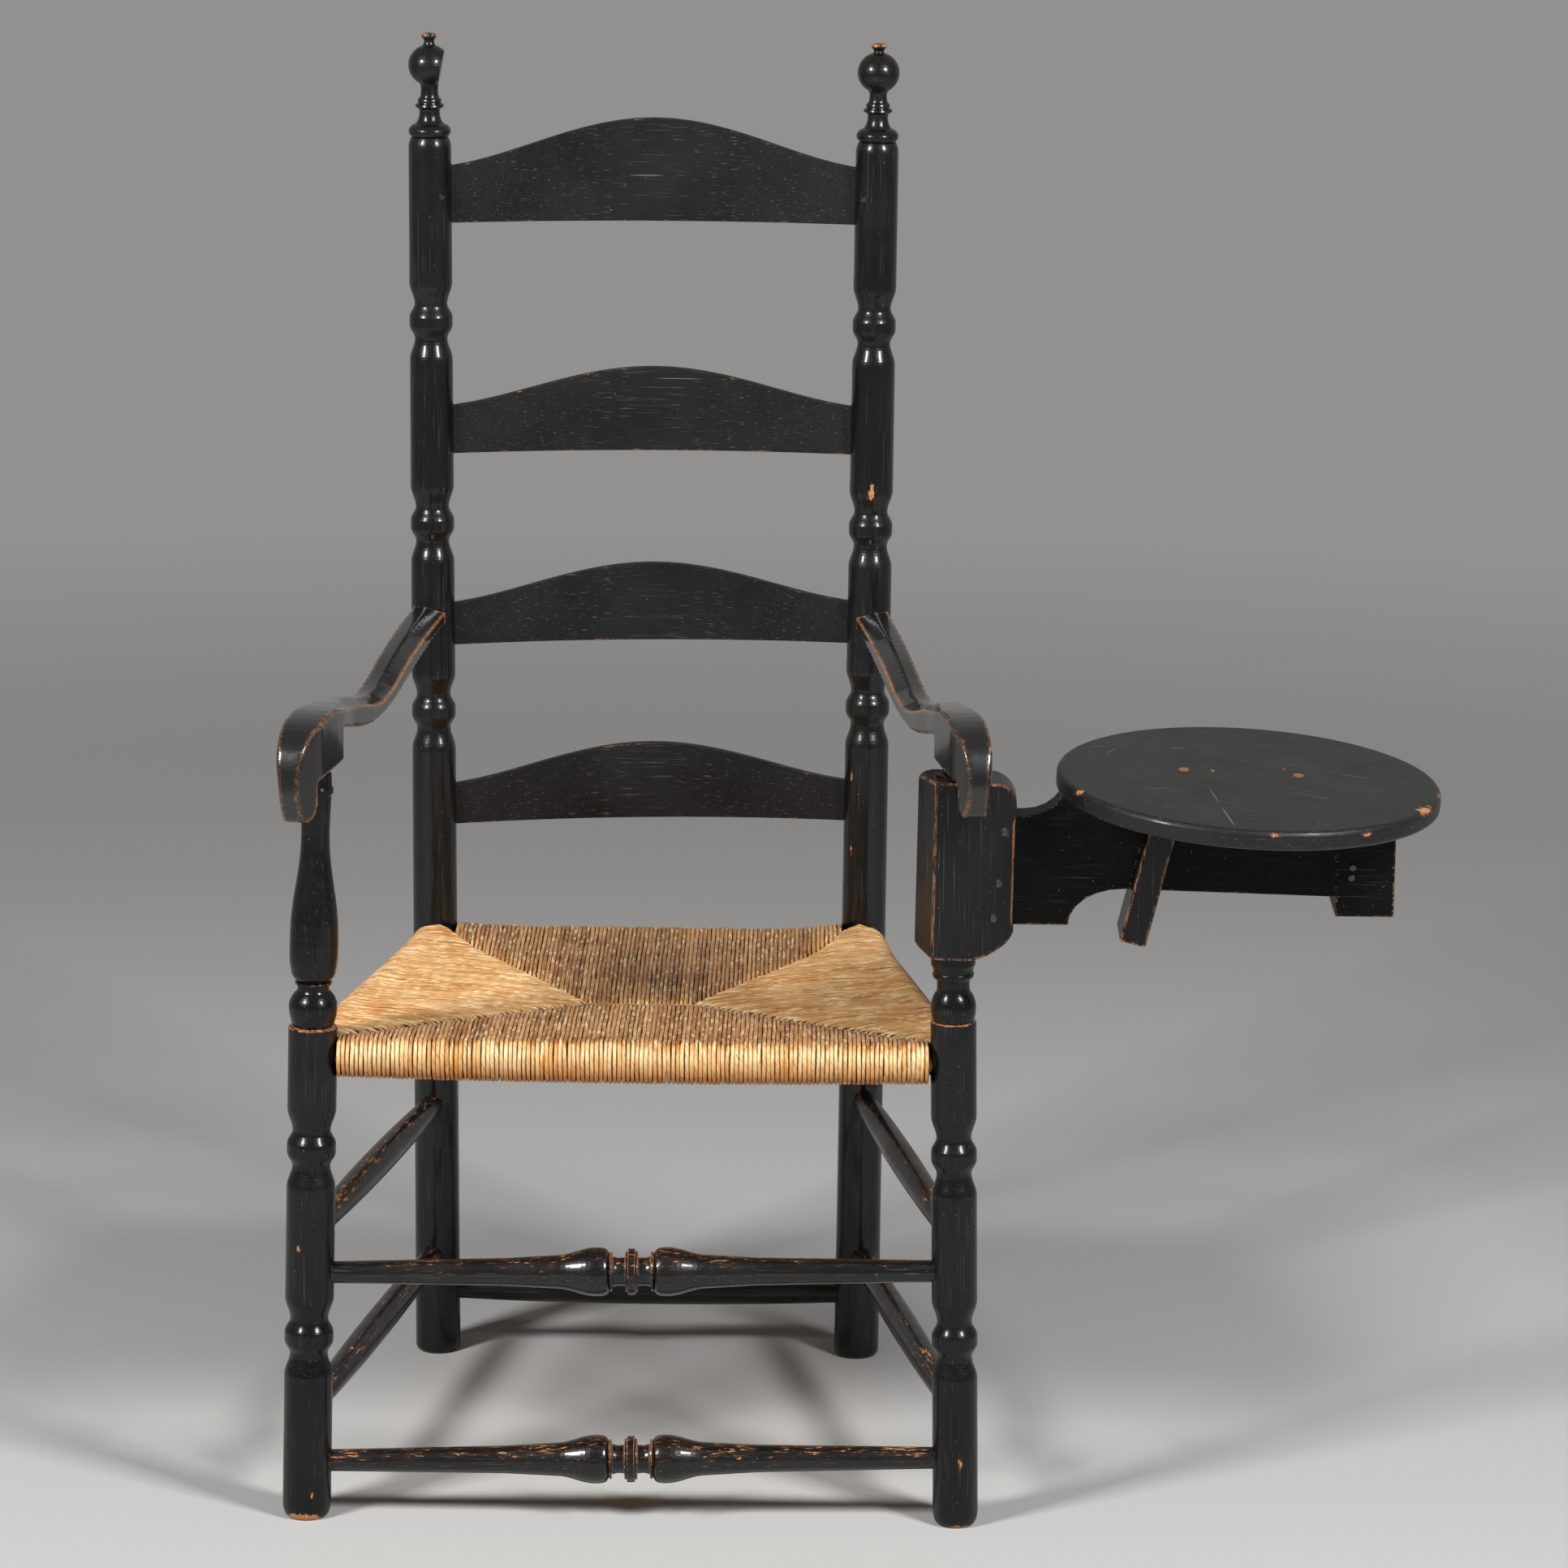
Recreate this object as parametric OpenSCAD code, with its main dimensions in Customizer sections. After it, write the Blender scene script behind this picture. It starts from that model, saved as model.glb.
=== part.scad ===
// Slat-back armchair with a rush seat and a round writing tablet that swings on the
// right front post. Millimetres, +Z up, the sitter faces -Y. The origin is the middle of
// the right front foot, on the axis of the post that the writing tablet turns about.

/* [Frame] */
// Distance between the front posts' axes at the floor
front_foot_cc = 572; // [520:2:640]
// Inward lean of each front post, in degrees
front_splay = 1.15; // [0:0.05:2]
// Distance between the back posts' axes at the floor
back_cc = 399; // [370:1:440]
// Outward lean of each back post, in degrees
back_splay = 0.22; // [0:0.02:1]
// Distance from the front posts' axes to the back posts' axes
seat_depth = 460; // [420:5:500]
// Height of the top of the left finial, which is the taller one
overall_h = 1254.5; // [1180:0.5:1320]
// Depth of a round tenon in its post
tenon_depth = 15; // [12:0.5:17]
// Radial clearance of a tenon in its socket
tenon_fit = 0.12; // [0.05:0.01:0.2]
// Gap between the end of a tenon and the bottom of its socket
socket_gap = 0.3; // [0.2:0.1:1]

/* [Posts] */
// Diameter of the left front post
front_left_d = 42.6; // [38:0.2:46]
// Diameter of the right front post
front_right_d = 39.8; // [38:0.2:46]
// Diameter of a back post at the floor
back_foot_d = 42.4; // [40:0.2:46]
// Diameter of a back post below its finial
back_top_d = 39; // [36:0.2:44]
// How deep the turned necks are cut below the surface of a post
neck_cut = 4.7; // [3:0.1:6]
// Radius of the ball of a finial
finial_ball_r = 19.2; // [17:0.2:20]
// How much higher the left finial is than the right one
finial_extra = 5; // [0:0.5:7]
// Distance from the middle of the left ball to the flat shaved on its inner side
finial_flat = 11.3; // [9:0.1:15]
// Height of the flared ring turned below the writing block
stop_ring_h = 14.5; // [12:0.5:17]

/* [Slats] */
// Thickness of a slat
slat_t = 8; // [6:0.5:10]
// How far the middle of a slat bows back
slat_bow = 24; // [10:1:35]
// How far a slat goes into its post
slat_tenon = 14; // [10:0.5:16]
// Clearance of a slat in its mortise
slat_fit = 0.3; // [0.1:0.05:0.4]
// Rise of the arched top edge of the three lower slats
slat_rise = 34; // [15:0.5:40]
// Rise of the arched top edge of the top slat
top_slat_rise = 43; // [20:0.5:48]
// Diameter of the pins that lock the top slat
pin_d = 5; // [4:0.5:6]

/* [Arms] */
// Width of an arm in its narrow middle
arm_w = 28; // [25:1:32]
// Width of an arm over its front post
arm_block_w = 35; // [32:1:40]
// Width of the handhold at its tip
arm_tip_w = 24; // [20:1:30]
// How far the middle of the left arm lies outside the axis of its front post
left_arm_out = 6; // [3:0.5:7]
// How far the middle of the right arm lies outside the axis of its front post
right_arm_out = 8.5; // [6:0.5:9]
// How far the handhold bends outward from the line of the arm
handhold_out = 4; // [0:0.5:6]
// Distance from the left front post to the back of the scroll that hangs before it
left_scroll_back = 33; // [30:1:45]
// The same on the right, where the writing block turns behind the scroll
right_scroll_back = 41; // [40:1:45]
// Height of the underside of the left arm over its post
left_arm_under = 672; // [668:1:680]
// Gap between the top of the writing block and the underside of the right arm
arm_clear = 3; // [2:0.5:6]
// Height of the top of the left arm over its post
left_arm_top = 724.5; // [715:0.5:735]
// Height of the top of the right arm over its post
right_arm_top = 729; // [720:0.5:740]
// Height of the lowest point of the left scroll
left_scroll_z = 639; // [630:1:660]
// Height of the lowest point of the right scroll
right_scroll_z = 651; // [640:1:665]
// Radius of the tenon on top of a front post
arm_post_tenon_r = 5.5; // [5:0.5:6]
// Radius of the tenon at the back of an arm
arm_tenon_r = 7.5; // [6:0.5:8]

/* [Seat] */
// Height of the front seat rail's axis
seat_front_z = 420; // [400:1:440]
// Height of the rear seat rail's axis
seat_rear_z = 400; // [395:1:430]
// Radius of a seat rail
rail_r = 12; // [10:0.5:13]
// Radius of a seat rail's tenon
rail_tenon_r = 7; // [6:0.5:7]
// Depth of a seat rail's tenon in its post
rail_tenon_depth = 11; // [10:0.5:11]
// Thickness of the rush wound round a rail
rush_t = 6; // [4:0.5:8]
// How far the woven top dips in its middle
rush_dip = 7; // [0:1:10]
// Gap between the rush and what it lies against
rush_gap = 0.3; // [0.2:0.1:0.5]

/* [Stretchers] */
// Radius of every stretcher where it enters a post
stretcher_end_r = 9.7; // [8.5:0.1:10]
// Height of the upper front stretcher at its left end and at its right end
front_upper_z = [223.5, 232];
// Height of the lower front stretcher at its left end and at its right end
front_lower_z = [50, 60];
// Radius of the two bulbs of a front stretcher
bulb_r = 21.4; // [18:0.2:22]
// Radius of the plain stretchers in their middle
stretcher_mid_r = 13.2; // [11:0.2:14]
// Height of the left upper side stretcher at its front post and at its back post
left_upper_z = [259, 246];
// Height of the left lower side stretcher at its front post and at its back post
left_lower_z = [96, 98];
// Height of the right upper side stretcher at its front post and at its back post
right_upper_z = [262, 256];
// Height of the right lower side stretcher at its front post and at its back post
right_lower_z = [106, 101];
// Height of the rear stretcher's axis
rear_z = 60; // [52:1:70]

/* [Writing block] */
// Radius of the journal on the right front post
journal_r = 14; // [12:0.5:15]
// Radial clearance of the block on its journal
journal_gap = 0.1; // [0.05:0.01:0.1]
// Height of the flat top of the ring that the block rests on
ring_top_z = 519; // [512:1:524]
// Gap between the block and that ring
block_seat_gap = 0.3; // [0.2:0.1:0.5]
// Height of the top of the block
block_top_z = 675.5; // [668:0.5:680]
// Depth of the block from front to back
block_depth = 54; // [50:1:60]
// How far the block reaches inward from the journal's axis
block_in = 31; // [28:1:36]
// How far the block reaches outward from the journal's axis
block_out = 53; // [48:1:56]
// Radius of the block's rounded outer top corner
block_top_round = 20; // [12:1:26]
// Lean of the block, clockwise from the front, in degrees
block_lean = 0.6; // [0:0.1:1]

/* [Writing tablet] */
// Diameter of the tablet
tablet_d = 328; // [290:2:340]
// Thickness of the tablet
tablet_t = 17; // [14:0.5:22]
// Distance from the journal's axis out to the tablet's middle
tablet_reach = 251; // [245:1:270]
// Distance of the tablet's middle in front of the bracket's middle
tablet_forward = 12; // [0:1:20]
// Height of the tablet's top in its middle
tablet_z = 680.5; // [676:0.5:700]
// Outward droop of the tablet, in degrees
tablet_droop = 2.4; // [0:0.1:3]
// Slope of the tablet towards the front, in degrees
tablet_pitch = 2.5; // [0:0.1:3]
// Thickness of the bracket board
bracket_t = 30; // [24:1:32]
// How far the bracket goes into the block
bracket_tenon = 25; // [18:1:25]
// Height of the bracket's underside beside the block
bracket_low_z = 549; // [543:1:555]
// Height of the bracket's underside at its thin outer stretch
bracket_thin_z = 581.5; // [574:0.5:588]
// Thickness of the leaning batten
mid_batten_t = 23; // [18:1:28]
// Length of the leaning batten from front to back
mid_batten_l = 56; // [50:2:80]
// Lean of the leaning batten, in degrees
mid_batten_lean = 13.5; // [8:0.5:18]
// Width of the end batten
end_batten_w = 50; // [44:1:60]
// Length of the end batten from front to back
end_batten_l = 68; // [60:1:90]
// Diameter of the pegs that hold the tablet
peg_d = 9; // [7:0.5:11]
// How far the pegs stand above the tablet
peg_proud = 1.2; // [0:0.1:2]
// Diameter of a nail's head
nail_head_d = 7; // [5:0.5:9]
// Clearance of a board in its slot or mortise
joint_fit = 0.1; // [0.05:0.05:0.3]

/* [Hidden] */

$fn = 64;
big = 700;
curve_steps = 8;
black = "#1f2022";
worn_black = "#2a2825";
rush_colour = "#b98d4f";
hidden_wood = "#b08a5c";
iron = "#3a3633";

// Places on the frame
mid_x = -front_foot_cc / 2;
back_top_z = overall_h - 99.5 - finial_extra;
seat_slope = (seat_front_z - seat_rear_z) / seat_depth;

function front_d(side) = side < 0 ? front_left_d : front_right_d;
function front_x(side, z) = mid_x + side * (front_foot_cc / 2 - z * tan(front_splay));
function front_at(side, z) = [front_x(side, z), 0, z];
function back_x(side, z) = mid_x + side * (back_cc / 2 + z * tan(back_splay));
function back_at(side, z) = [back_x(side, z), seat_depth, z];
function end_of(side, pair) = pair[side < 0 ? 0 : 1];
function back_r(z) =
    back_foot_d / 2 + (back_top_d - back_foot_d) / 2 * min(1, z / back_top_z);
function side_z(side) = side < 0 ? [left_upper_z, left_lower_z] : [right_upper_z, right_lower_z];
function arm_under(side) = side < 0 ? left_arm_under : block_top_z + arm_clear;
function arm_out(side) = side < 0 ? left_arm_out : right_arm_out;

// Curves between two stations [height, radius] of a turned piece
function ease(t) = (1 - cos(180 * t)) / 2;
function rounded(t) = sqrt(max(0, 1 - (1 - t) * (1 - t)));
function shape(kind, t) =
    kind == "ease" ? ease(t) : kind == "rounded" ? rounded(t) :
    kind == "arch" ? t * (2 - t) : kind == "fall" ? t * t : t;
function steps_of(kind) = kind == "line" ? 1 : curve_steps;
function turned(stations) = [
    stations[0],
    for (i = [1 : len(stations) - 1], k = [1 : steps_of(stations[i][2])])
        let (a = stations[i - 1], b = stations[i], t = k / steps_of(b[2]))
        [a[0] + (b[0] - a[0]) * t, a[1] + (b[1] - a[1]) * shape(b[2], t)]];

// A bead between two necks, in the length of a post
function bead_group(z, r) = [
    [z - 36, r, "line"], [z - 16, r - neck_cut, "ease"], [z - 3.5, r + 0.1, "ease"],
    [z + 3.5, r + 0.1, "line"], [z + 16, r - neck_cut, "ease"], [z + 36, r, "ease"]];

module lathe(stations) {
    outline = turned(stations);
    first = outline[0][0];
    last = outline[len(outline) - 1][0];
    rotate_extrude()
        polygon(concat([[0, first]], [for (p = outline) [p[1], p[0]]], [[0, last]]));
}

// Puts +Z along the line from p to q, with its start at p
module along(p, q) {
    v = q - p;
    translate(p) rotate([0, acos(v[2] / norm(v)), atan2(v[1], v[0])]) children();
}

// Puts the children on the axis of a front post or a back post
module on_front_post(side) {
    translate([front_x(side, 0), 0, 0]) rotate([0, -side * front_splay, 0]) children();
}

module on_back_post(side) {
    translate(back_at(side, 0)) rotate([0, side * back_splay, 0]) children();
}

module flip(side) {
    if (side < 0) mirror([1, 0, 0]) children();
    else children();
}

// Sockets of round members: a hole from the bottom of the socket out past the surface
module socket(p, q, post_r, r, depth) {
    start = post_r - depth - socket_gap;
    along(p, q) translate([0, 0, start]) cylinder(h = post_r + 6 - start, r = r + tenon_fit);
}

// A member's length between the bottoms of its two tenons starts and stops here
function member_start(post_r, depth) = post_r - depth;
function member_end(p, q, post_r, depth) = norm(q - p) - post_r + depth;

// Front posts. A ball stands on the square shoulder of the shaft, higher on the right one
front_low_bead = [166, 170];
front_high_bead = 337.5;
shoulder_z = [447, 458.5];
front_ball_z = [465.5, 471.5];
front_ball_foot = [0.81, 0.9];
foot_round = 9;

function front_lower(side, r) = concat(
    [[-3, r - foot_round * 0.7, "line"], [0, r - foot_round * 0.55, "line"],
     [foot_round * 1.4, r, "rounded"]],
    bead_group(end_of(side, front_low_bead), r), bead_group(front_high_bead, r),
    [[end_of(side, shoulder_z) - 0.8, r, "line"], [end_of(side, shoulder_z), r * 0.97, "line"],
     [end_of(side, shoulder_z) + 0.4, r * end_of(side, front_ball_foot), "line"],
     [end_of(side, front_ball_z), r * 0.99, "arch"]]);

// The left post carries on as a long vase up to the arm
vase_z = 521;
vase_neck_z = 617;
function left_vase(r) = [
    [478.5, r * 0.69, "fall"], [480, r * 0.65, "line"], [484.8, r * 0.65, "line"],
    [485.4, r * 0.75, "line"], [487.2, r * 0.75, "line"], [487.8, r * 0.68, "line"],
    [488.6, r * 0.7, "line"], [497, r * 0.915, "arch"], [511, r * 0.988, "arch"],
    [vase_z, r * 0.988, "line"], [vase_z + 8, r * 0.98, "ease"],
    [vase_neck_z, r * 0.575, "ease"], [left_arm_under - 19, r * 0.62, "ease"],
    [left_arm_under - 17, r * 0.7, "ease"], [left_arm_under - 13, r * 0.7, "line"],
    [left_arm_under - 11, r * 0.64, "ease"], [left_arm_under - 0.3, r * 0.62, "line"]];

// The right post carries the ring and journal that the writing block turns on
function right_journal(r) = [
    [484, r * 0.8, "fall"], [489.5, r * 0.715, "rounded"],
    [ring_top_z - stop_ring_h - 9, r * 0.715, "line"],
    [ring_top_z - stop_ring_h - 7.5, r * 0.76, "line"],
    [ring_top_z - stop_ring_h - 3.5, r * 0.905, "rounded"],
    [ring_top_z - stop_ring_h - 1, r * 0.87, "ease"],
    [ring_top_z - stop_ring_h + 1, r * 0.885, "line"],
    [ring_top_z - stop_ring_h + 6, r * 0.97, "ease"],
    [ring_top_z - 1, r * 0.97, "line"], [ring_top_z, r * 0.95, "line"],
    [ring_top_z, journal_r, "line"],
    [arm_under(1) - 0.3, journal_r, "line"]];

arm_tenon_h = 30;

module front_post(side) {
    r = front_d(side) / 2;
    top = side < 0 ? left_vase(r) : right_journal(r);
    under = arm_under(side);
    difference() {
        on_front_post(side)
            lathe(concat(front_lower(side, r), top,
                [[under - 0.3, arm_post_tenon_r, "line"],
                 [under + arm_tenon_h, arm_post_tenon_r, "line"]]));
        translate([front_x(side, 0), 0, -5]) translate([-40, -40, 0]) cube([80, 80, 5]);
        front_sockets(side, r);
    }
}

module front_sockets(side, r) {
    for (zz = [front_upper_z, front_lower_z])
        socket(front_at(side, end_of(side, zz)), front_at(-side, end_of(-side, zz)), r,
            stretcher_end_r, tenon_depth);
    for (zz = side_z(side))
        socket(front_at(side, zz[0]), back_at(side, zz[1]), r, stretcher_end_r, tenon_depth);
    socket(front_at(side, seat_front_z), front_at(-side, seat_front_z), r,
        rail_tenon_r, rail_tenon_depth);
    socket(front_at(side, seat_front_z), back_at(side, seat_rear_z), r,
        rail_tenon_r, rail_tenon_depth);
}

// Back posts
back_span = back_top_z - 403;
function back_beads(side) = [
    for (part = [end_of(side, [0.296, 0.307]), 0.5335, 0.7865]) back_top_z - back_span * (1 - part)];

function back_shaft(side) = concat(
    [[-1, back_r(0) - 4, "line"], [0, back_r(0) - 4, "line"], [6, back_r(0), "rounded"]],
    [for (z = back_beads(side), s = bead_group(z, back_r(z))) s],
    [[back_top_z, back_top_d / 2, "line"]]);

// Heights of the finial are measured from the top of the plain shaft: a round shoulder, a
// thick ring, a cove, a thin sharp ring with a bead on it, a neck, the ball and its cap
function finial(side) = let (
    r = back_top_d / 2,
    extra = side < 0 ? finial_extra : 0,
    ball = finial_ball_z(side),
    cap = 93 + extra) [for (s = concat(
    [[9.5, r - 2.4, "fall"], [9.9, r - 3.6, "line"], [10.5, r - 3.4, "line"],
     [15.5, r - 0.2, "rounded"], [19.8, r - 2.6, "fall"], [20.5, r * 0.83, "line"],
     [33, r * 0.475, "rounded"], [35.5, r * 0.51, "ease"], [36.8, r * 0.63, "line"],
     [38, r * 0.675, "line"], [39.6, r * 0.65, "line"], [40.5, r * 0.54, "line"],
     [41.2, r * 0.53, "line"], [43, r * 0.56, "rounded"], [44.6, r * 0.53, "line"],
     [45.2, r * 0.485, "line"], [53, r * 0.405, "rounded"], [ball - 18.2, r * 0.42, "line"]],
    [for (a = [-60 : 8 : 68]) [
        ball + finial_ball_r * sin(a) * 0.97, finial_ball_r * cos(a), "line"]],
    [[cap - 0.5, 4.6, "rounded"], [cap, 4.6, "line"], [cap + 2.4, 6.5, "line"],
     [cap + 4, 7, "rounded"], [cap + 5.8, 5.6, "fall"], [cap + 6.5, 2, "line"]]))
        [back_top_z + s[0], s[1], s[2]]];
function finial_ball_z(side) = side < 0 ? 72.7 + finial_extra / 2 : 72.7;

module back_post(side) {
    difference() {
        on_back_post(side) lathe(concat(back_shaft(side), finial(side)));
        translate(back_at(side, 0) - [40, 40, 5]) cube([80, 80, 5]);
        back_sockets(side);
        for (i = [0 : 3]) slat_mortise(side, i);
        slat_pin_hole(side, tenon_fit);
        if (side < 0)
            on_back_post(side) translate([finial_flat, 0, back_top_z + finial_ball_z(side)])
                rotate([0, 10.5, 0]) translate([0, -30, -18.5]) cube([20, 60, 40]);
    }
}

module back_sockets(side) {
    for (zz = side_z(side))
        socket(back_at(side, zz[1]), front_at(side, zz[0]), back_r(zz[1]),
            stretcher_end_r, tenon_depth);
    socket(back_at(side, rear_z), back_at(-side, rear_z), back_r(rear_z),
        stretcher_end_r, tenon_depth);
    socket(back_at(side, seat_rear_z), front_at(side, seat_front_z), back_r(seat_rear_z),
        rail_tenon_r, rail_tenon_depth);
    socket(back_at(side, seat_rear_z), back_at(-side, seat_rear_z), back_r(seat_rear_z),
        rail_tenon_r, rail_tenon_depth);
    socket(arm_back(side), arm_front(side), back_r(arm_tenon_z), arm_tenon_r, arm_tenon_depth);
}

// Slats: four curved boards, each [underside in the middle, height at its ends, rise of its
// top, slope]. Each one was let in a little higher on the right than on the left.
slats = [for (s = [
    [0.909, 51.5, top_slat_rise, 0.35], [0.6232, 44, slat_rise, 0.47],
    [0.3835, 39, slat_rise, 0.93], [0.1553, 38, slat_rise, 1.2]])
        [back_top_z - back_span * (1 - s[0]), s[1], s[2], tan(s[3])]];
slat_edge_steps = 24;

function slat_half(s) = back_cc / 2 + (s[0] + s[1] / 2) * tan(back_splay);
function slat_bend_r(s) = (pow(slat_half(s), 2) + slat_bow * slat_bow) / (2 * slat_bow);
function slat_end_x(s) = slat_half(s) - back_r(s[0]) + slat_tenon;
function slat_low_edge(x, s) = s[0] + x * s[3];
function slat_top_edge(x, s) = slat_low_edge(x, s) + s[1]
    + s[2] * pow(max(0, cos(90 * min(1, abs(x) / slat_end_x(s)))), 1.7);

module bent_board(s) {
    bend_r = slat_bend_r(s);
    translate([mid_x, seat_depth + slat_bow - bend_r, 0])
        difference() {
            cylinder(h = big * 2, r = bend_r + slat_t / 2, $fn = 360);
            translate([0, 0, -1]) cylinder(h = big * 2 + 2, r = bend_r - slat_t / 2, $fn = 360);
        }
}

module slat_face(s) {
    end = slat_end_x(s);
    translate([mid_x, seat_depth + 100, 0]) rotate([90, 0, 0]) linear_extrude(200)
        polygon(concat(
            [[-end, slat_low_edge(-end, s)], [end, slat_low_edge(end, s)]],
            [for (k = [0 : slat_edge_steps])
                let (x = end * (1 - 2 * k / slat_edge_steps)) [x, slat_top_edge(x, s)]]));
}

module slat(i) {
    difference() {
        intersection() {
            bent_board(slats[i]);
            slat_face(slats[i]);
        }
        if (i == 0) for (side = [-1, 1]) slat_pin_hole(side, tenon_fit);
    }
}

// A mortise follows the slat's line at the middle of its tenon, and is as high as the slat
// is where it comes out of the post
module slat_mortise(side, i) {
    s = slats[i];
    mid_tenon = slat_end_x(s) - slat_tenon / 2;
    angle = asin(mid_tenon / slat_bend_r(s));
    bend_y = seat_depth + slat_bow - slat_bend_r(s) * (1 - cos(angle));
    end_gap = socket_gap + slat_t / 2 * tan(angle);
    low = slat_low_edge(side * mid_tenon, s);
    mouth_h = slat_top_edge(side * (slat_end_x(s) - slat_tenon), s) - low;
    translate([mid_x + side * mid_tenon, bend_y, low - slat_fit])
        rotate([0, 0, -side * angle]) flip(-side)
            translate([-slat_tenon / 2 - end_gap, -slat_t / 2 - slat_fit, 0])
                cube([slat_tenon + 18, slat_t + 2 * slat_fit, mouth_h + 2 * slat_fit]);
}

// Pins through the post and the end of the top slat
pin_in = 11.5;
pin_front = 24;

function pin_at(side) = let (
    s = slats[0],
    z = slat_low_edge(side * (slat_half(s) - pin_in), s) + s[1] / 2)
        back_at(side, z) - [side * pin_in, 0, 0];

module slat_pin_hole(side, gap) {
    translate(pin_at(side) - [0, pin_front, 0])
        rotate([-90, 0, 0]) cylinder(h = pin_front + 12, r = pin_d / 2 + gap);
}

module slat_pins() {
    sink = sqrt(pow(back_top_d / 2, 2) - pin_in * pin_in) + 0.6;
    color(worn_black) for (side = [-1, 1])
        translate(pin_at(side) - [0, sink, 0])
            rotate([-90, 0, 0]) cylinder(h = sink + 11.5, r = pin_d / 2);
}

// Arms. Local frame: origin under the front post's top, X outward, Y to the back post
arm_tenon_z = 716;
arm_tenon_depth = 13;
arm_block_back = 52;

function arm_angle(side) =
    atan2(front_x(1, arm_tenon_z) + arm_out(side) - back_x(1, arm_tenon_z), seat_depth);
function arm_front(side) = [front_x(side, arm_tenon_z) + side * arm_out(side), 0, arm_tenon_z];
function arm_back(side) = back_at(side, arm_tenon_z);

// Top and underside of an arm from the side, as [distance back, height], drawn for an arm
// over a seat 460 deep and stretched to this one. Heights are from the top over the post.
arm_stretch = seat_depth / 460;
arm_front_line = [[-60, -35], [-50, -17], [-28, -4], [10, 0], [65, -5], [105, -11]];
arm_back_line = [
    [142, 708], [180, 699], [213, 695], [252, 698], [310, 710], [370, 719], [430, 725],
    [480, 728]];
arm_low_line = [
    [480, 710], [430, 708], [370, 700], [310, 690], [250, 680], [190, 677], [140, 682],
    [100, 690], [70, 697], [52, 700]];
function arm_top(side) = side < 0 ? left_arm_top : right_arm_top;
function arm_top_line(side) = concat(
    [for (p = arm_front_line) [p[0], arm_top(side) + p[1]]], stretched(arm_back_line));
function stretched(line) = [for (p = line) [p[0] * arm_stretch, p[1]]];
function scroll_back(side) = side < 0 ? left_scroll_back : right_scroll_back;
function scroll_z(side) = side < 0 ? left_scroll_z : right_scroll_z;
function arm_scroll(back, low) = [
    [-back, low + 17], [-back - 2.5, low + 6], [-(back + 60) / 2, low], [-57, low + 5],
    [-60.5, low + 17], [-62, low + 31]];

// A smooth curve through a list of points
function spline(p, i, t) = let (
    a = p[max(0, i - 1)], b = p[i], c = p[i + 1], d = p[min(len(p) - 1, i + 2)])
    0.5 * (2 * b + (c - a) * t + (2 * a - 5 * b + 4 * c - d) * t * t
        + (3 * b - a - 3 * c + d) * t * t * t);
function smooth(p, n) = concat(
    [for (i = [0 : len(p) - 2], k = [0 : n - 1]) spline(p, i, k / n)], [p[len(p) - 1]]);

module arm_side_view(side) {
    under = arm_under(side);
    back = scroll_back(side);
    polygon(concat(
        smooth(concat(arm_scroll(back, scroll_z(side)), arm_top_line(side)), 3),
        smooth(stretched(arm_low_line), 3),
        [[arm_block_back, under + 1], [arm_block_back - 1, under], [-back + 4, under],
         [-back + 1, under - 2]]));
}

module arm_plan(side) {
    half = arm_w / 2;
    outer = arm_block_w / 2;
    inner = arm_block_w / 2 - (arm_out(side) - left_arm_out);
    tip = arm_tip_w / 2;
    out = handhold_out;
    far = 480 * arm_stretch;
    polygon(concat(
        smooth([[out - tip + 3, -62], [out - tip, -54], [1 - inner, -30], [-inner, -15],
            [-inner, 50], [-half, 95], [-half, 140], [-half, 300], [-half - 1, far]], 3),
        smooth([[half + 1, far], [half, 300], [half, 140], [half + 1, 95], [outer - 2, 50],
            [outer, 0], [tip + out + 1, -40], [tip + out, -54], [tip + out - 3, -62]], 3)));
}

module arm(side) {
    under = arm_under(side);
    back_radius = back_r(arm_tenon_z);
    difference() {
        union() {
            difference() {
                translate([front_x(side, arm_tenon_z) + side * arm_out(side), 0, 0]) flip(side)
                    rotate([0, 0, arm_angle(side)]) intersection() {
                        rotate([90, 0, 90]) linear_extrude(70, center = true) arm_side_view(side);
                        translate([0, 0, 600]) linear_extrude(180) arm_plan(side);
                    }
                on_back_post(side) translate([0, 0, 600])
                    cylinder(h = 200, r = back_radius + 0.1);
                translate([mid_x - big, seat_depth, 600]) cube([big * 2, 60, 200]);
            }
            along(arm_back(side), arm_front(side))
                translate([0, 0, back_radius - arm_tenon_depth])
                    cylinder(h = arm_tenon_depth + 6, r = arm_tenon_r);
        }
        on_front_post(side) translate([0, 0, under - 5])
            cylinder(h = arm_tenon_h + 5 + socket_gap, r = arm_post_tenon_r + tenon_fit);
    }
}

// Stretchers and seat rails
module barrel(l, end_r, mid_r) {
    plain = tenon_depth + 6;
    swell = l - 2 * plain;
    lathe(concat([[0, end_r, "line"], [plain, end_r, "line"]], [for (k = [1 : 12])
        [plain + swell * k / 12, end_r + (mid_r - end_r) * pow(sin(180 * k / 12), 0.8), "line"]],
        [[l, end_r, "line"]]));
}

module plain_stretcher(p, q, p_r, q_r, mid_r) {
    start = member_start(p_r, tenon_depth);
    stop = member_end(p, q, q_r, tenon_depth);
    color(black) along(p, q) translate([0, 0, start])
        barrel(stop - start, stretcher_end_r, mid_r);
}

module side_stretcher(side, zz) {
    plain_stretcher(front_at(side, zz[0]), back_at(side, zz[1]), front_d(side) / 2,
        back_r(zz[1]), stretcher_mid_r);
}

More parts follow.
